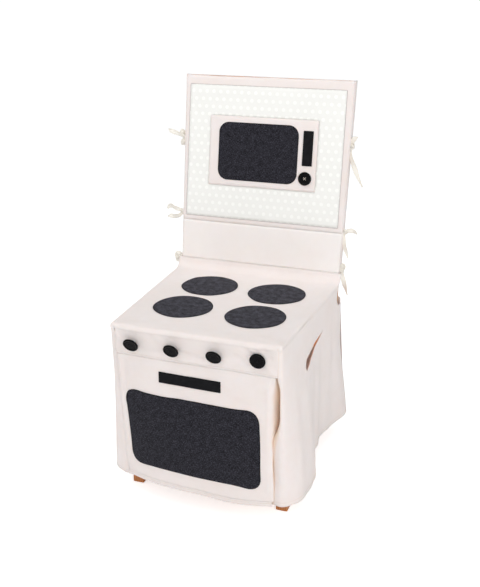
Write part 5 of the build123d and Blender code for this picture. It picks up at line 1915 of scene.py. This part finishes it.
class KITCHEN_OT_oven_door(bpy.types.Operator):
    """Sew the oven door with its window and handle"""
    bl_idname = "kitchen.oven_door"
    bl_label = "Oven Door"
    bl_options = {"REGISTER", "UNDO"}

    def execute(self, context):
        build_oven_door(context.scene.kitchen_cloth)
        return {"FINISHED"}


class KITCHEN_OT_sides(bpy.types.Operator):
    """Hang the side panels and the rear skirt"""
    bl_idname = "kitchen.sides"
    bl_label = "Sides and Skirt"
    bl_options = {"REGISTER", "UNDO"}

    def execute(self, context):
        build_sides(context.scene.kitchen_cloth)
        return {"FINISHED"}


class KITCHEN_OT_cover(bpy.types.Operator):
    """Sew the cover of the chair's back"""
    bl_idname = "kitchen.cover"
    bl_label = "Back Cover"
    bl_options = {"REGISTER", "UNDO"}

    def execute(self, context):
        build_cover()
        return {"FINISHED"}


class KITCHEN_OT_microwave(bpy.types.Operator):
    """Sew the microwave door with its window and handle"""
    bl_idname = "kitchen.microwave"
    bl_label = "Microwave Door"
    bl_options = {"REGISTER", "UNDO"}

    def execute(self, context):
        build_microwave()
        return {"FINISHED"}


class KITCHEN_OT_buttons(bpy.types.Operator):
    """Finish the five buttons and sew them on"""
    bl_idname = "kitchen.buttons"
    bl_label = "Buttons"
    bl_options = {"REGISTER", "UNDO"}

    def execute(self, context):
        build_buttons()
        return {"FINISHED"}


class KITCHEN_OT_ties(bpy.types.Operator):
    """Tie the cotton tapes along the back cover"""
    bl_idname = "kitchen.ties"
    bl_label = "Ties"
    bl_options = {"REGISTER", "UNDO"}

    def execute(self, context):
        build_ties()
        return {"FINISHED"}


class KITCHEN_OT_studio(bpy.types.Operator):
    """Set up the white floor, the lamps and the camera"""
    bl_idname = "kitchen.studio"
    bl_label = "Studio"
    bl_options = {"REGISTER", "UNDO"}

    def execute(self, context):
        build_studio(context.scene.kitchen_studio)
        return {"FINISHED"}


OPERATORS = (
    KITCHEN_OT_chair, KITCHEN_OT_hob, KITCHEN_OT_front, KITCHEN_OT_oven_door, KITCHEN_OT_sides,
    KITCHEN_OT_cover, KITCHEN_OT_microwave, KITCHEN_OT_buttons, KITCHEN_OT_ties, KITCHEN_OT_studio,
)


class KITCHEN_PT_panel(bpy.types.Panel):
    """Lists the kitchen's pieces"""
    bl_idname = "KITCHEN_PT_panel"
    bl_label = "Play Kitchen"
    bl_space_type = "VIEW_3D"
    bl_region_type = "UI"
    bl_category = "Play Kitchen"

    def draw(self, context):
        column = self.layout.column(align=True)
        for operator in OPERATORS:
            column.operator(operator.bl_idname)
        for place_name in SETTINGS:
            settings = getattr(context.scene, place_name)
            box = self.layout.box()
            for name in settings.__annotations__:
                box.prop(settings, name)


SETTINGS = {
    "kitchen_cloth": KitchenCloth, "kitchen_trims": KitchenTrims,
    "kitchen_chair": KitchenChair, "kitchen_studio": KitchenStudio,
}
CLASSES = tuple(SETTINGS.values()) + OPERATORS + (KITCHEN_PT_panel,)


def register():
    """Makes the settings, operators and panel known."""
    for cls in CLASSES:
        bpy.utils.register_class(cls)
    for name, settings in SETTINGS.items():
        setattr(bpy.types.Scene, name, PointerProperty(type=settings))


def unregister():
    """Takes them away again."""
    for name in SETTINGS:
        delattr(bpy.types.Scene, name)
    for cls in reversed(CLASSES):
        bpy.utils.unregister_class(cls)


def main():
    """Builds every piece in order."""
    register()
    for operator in OPERATORS:
        section, action = operator.bl_idname.split(".")
        getattr(getattr(bpy.ops, section), action)()


if __name__ == "__main__":
    main()
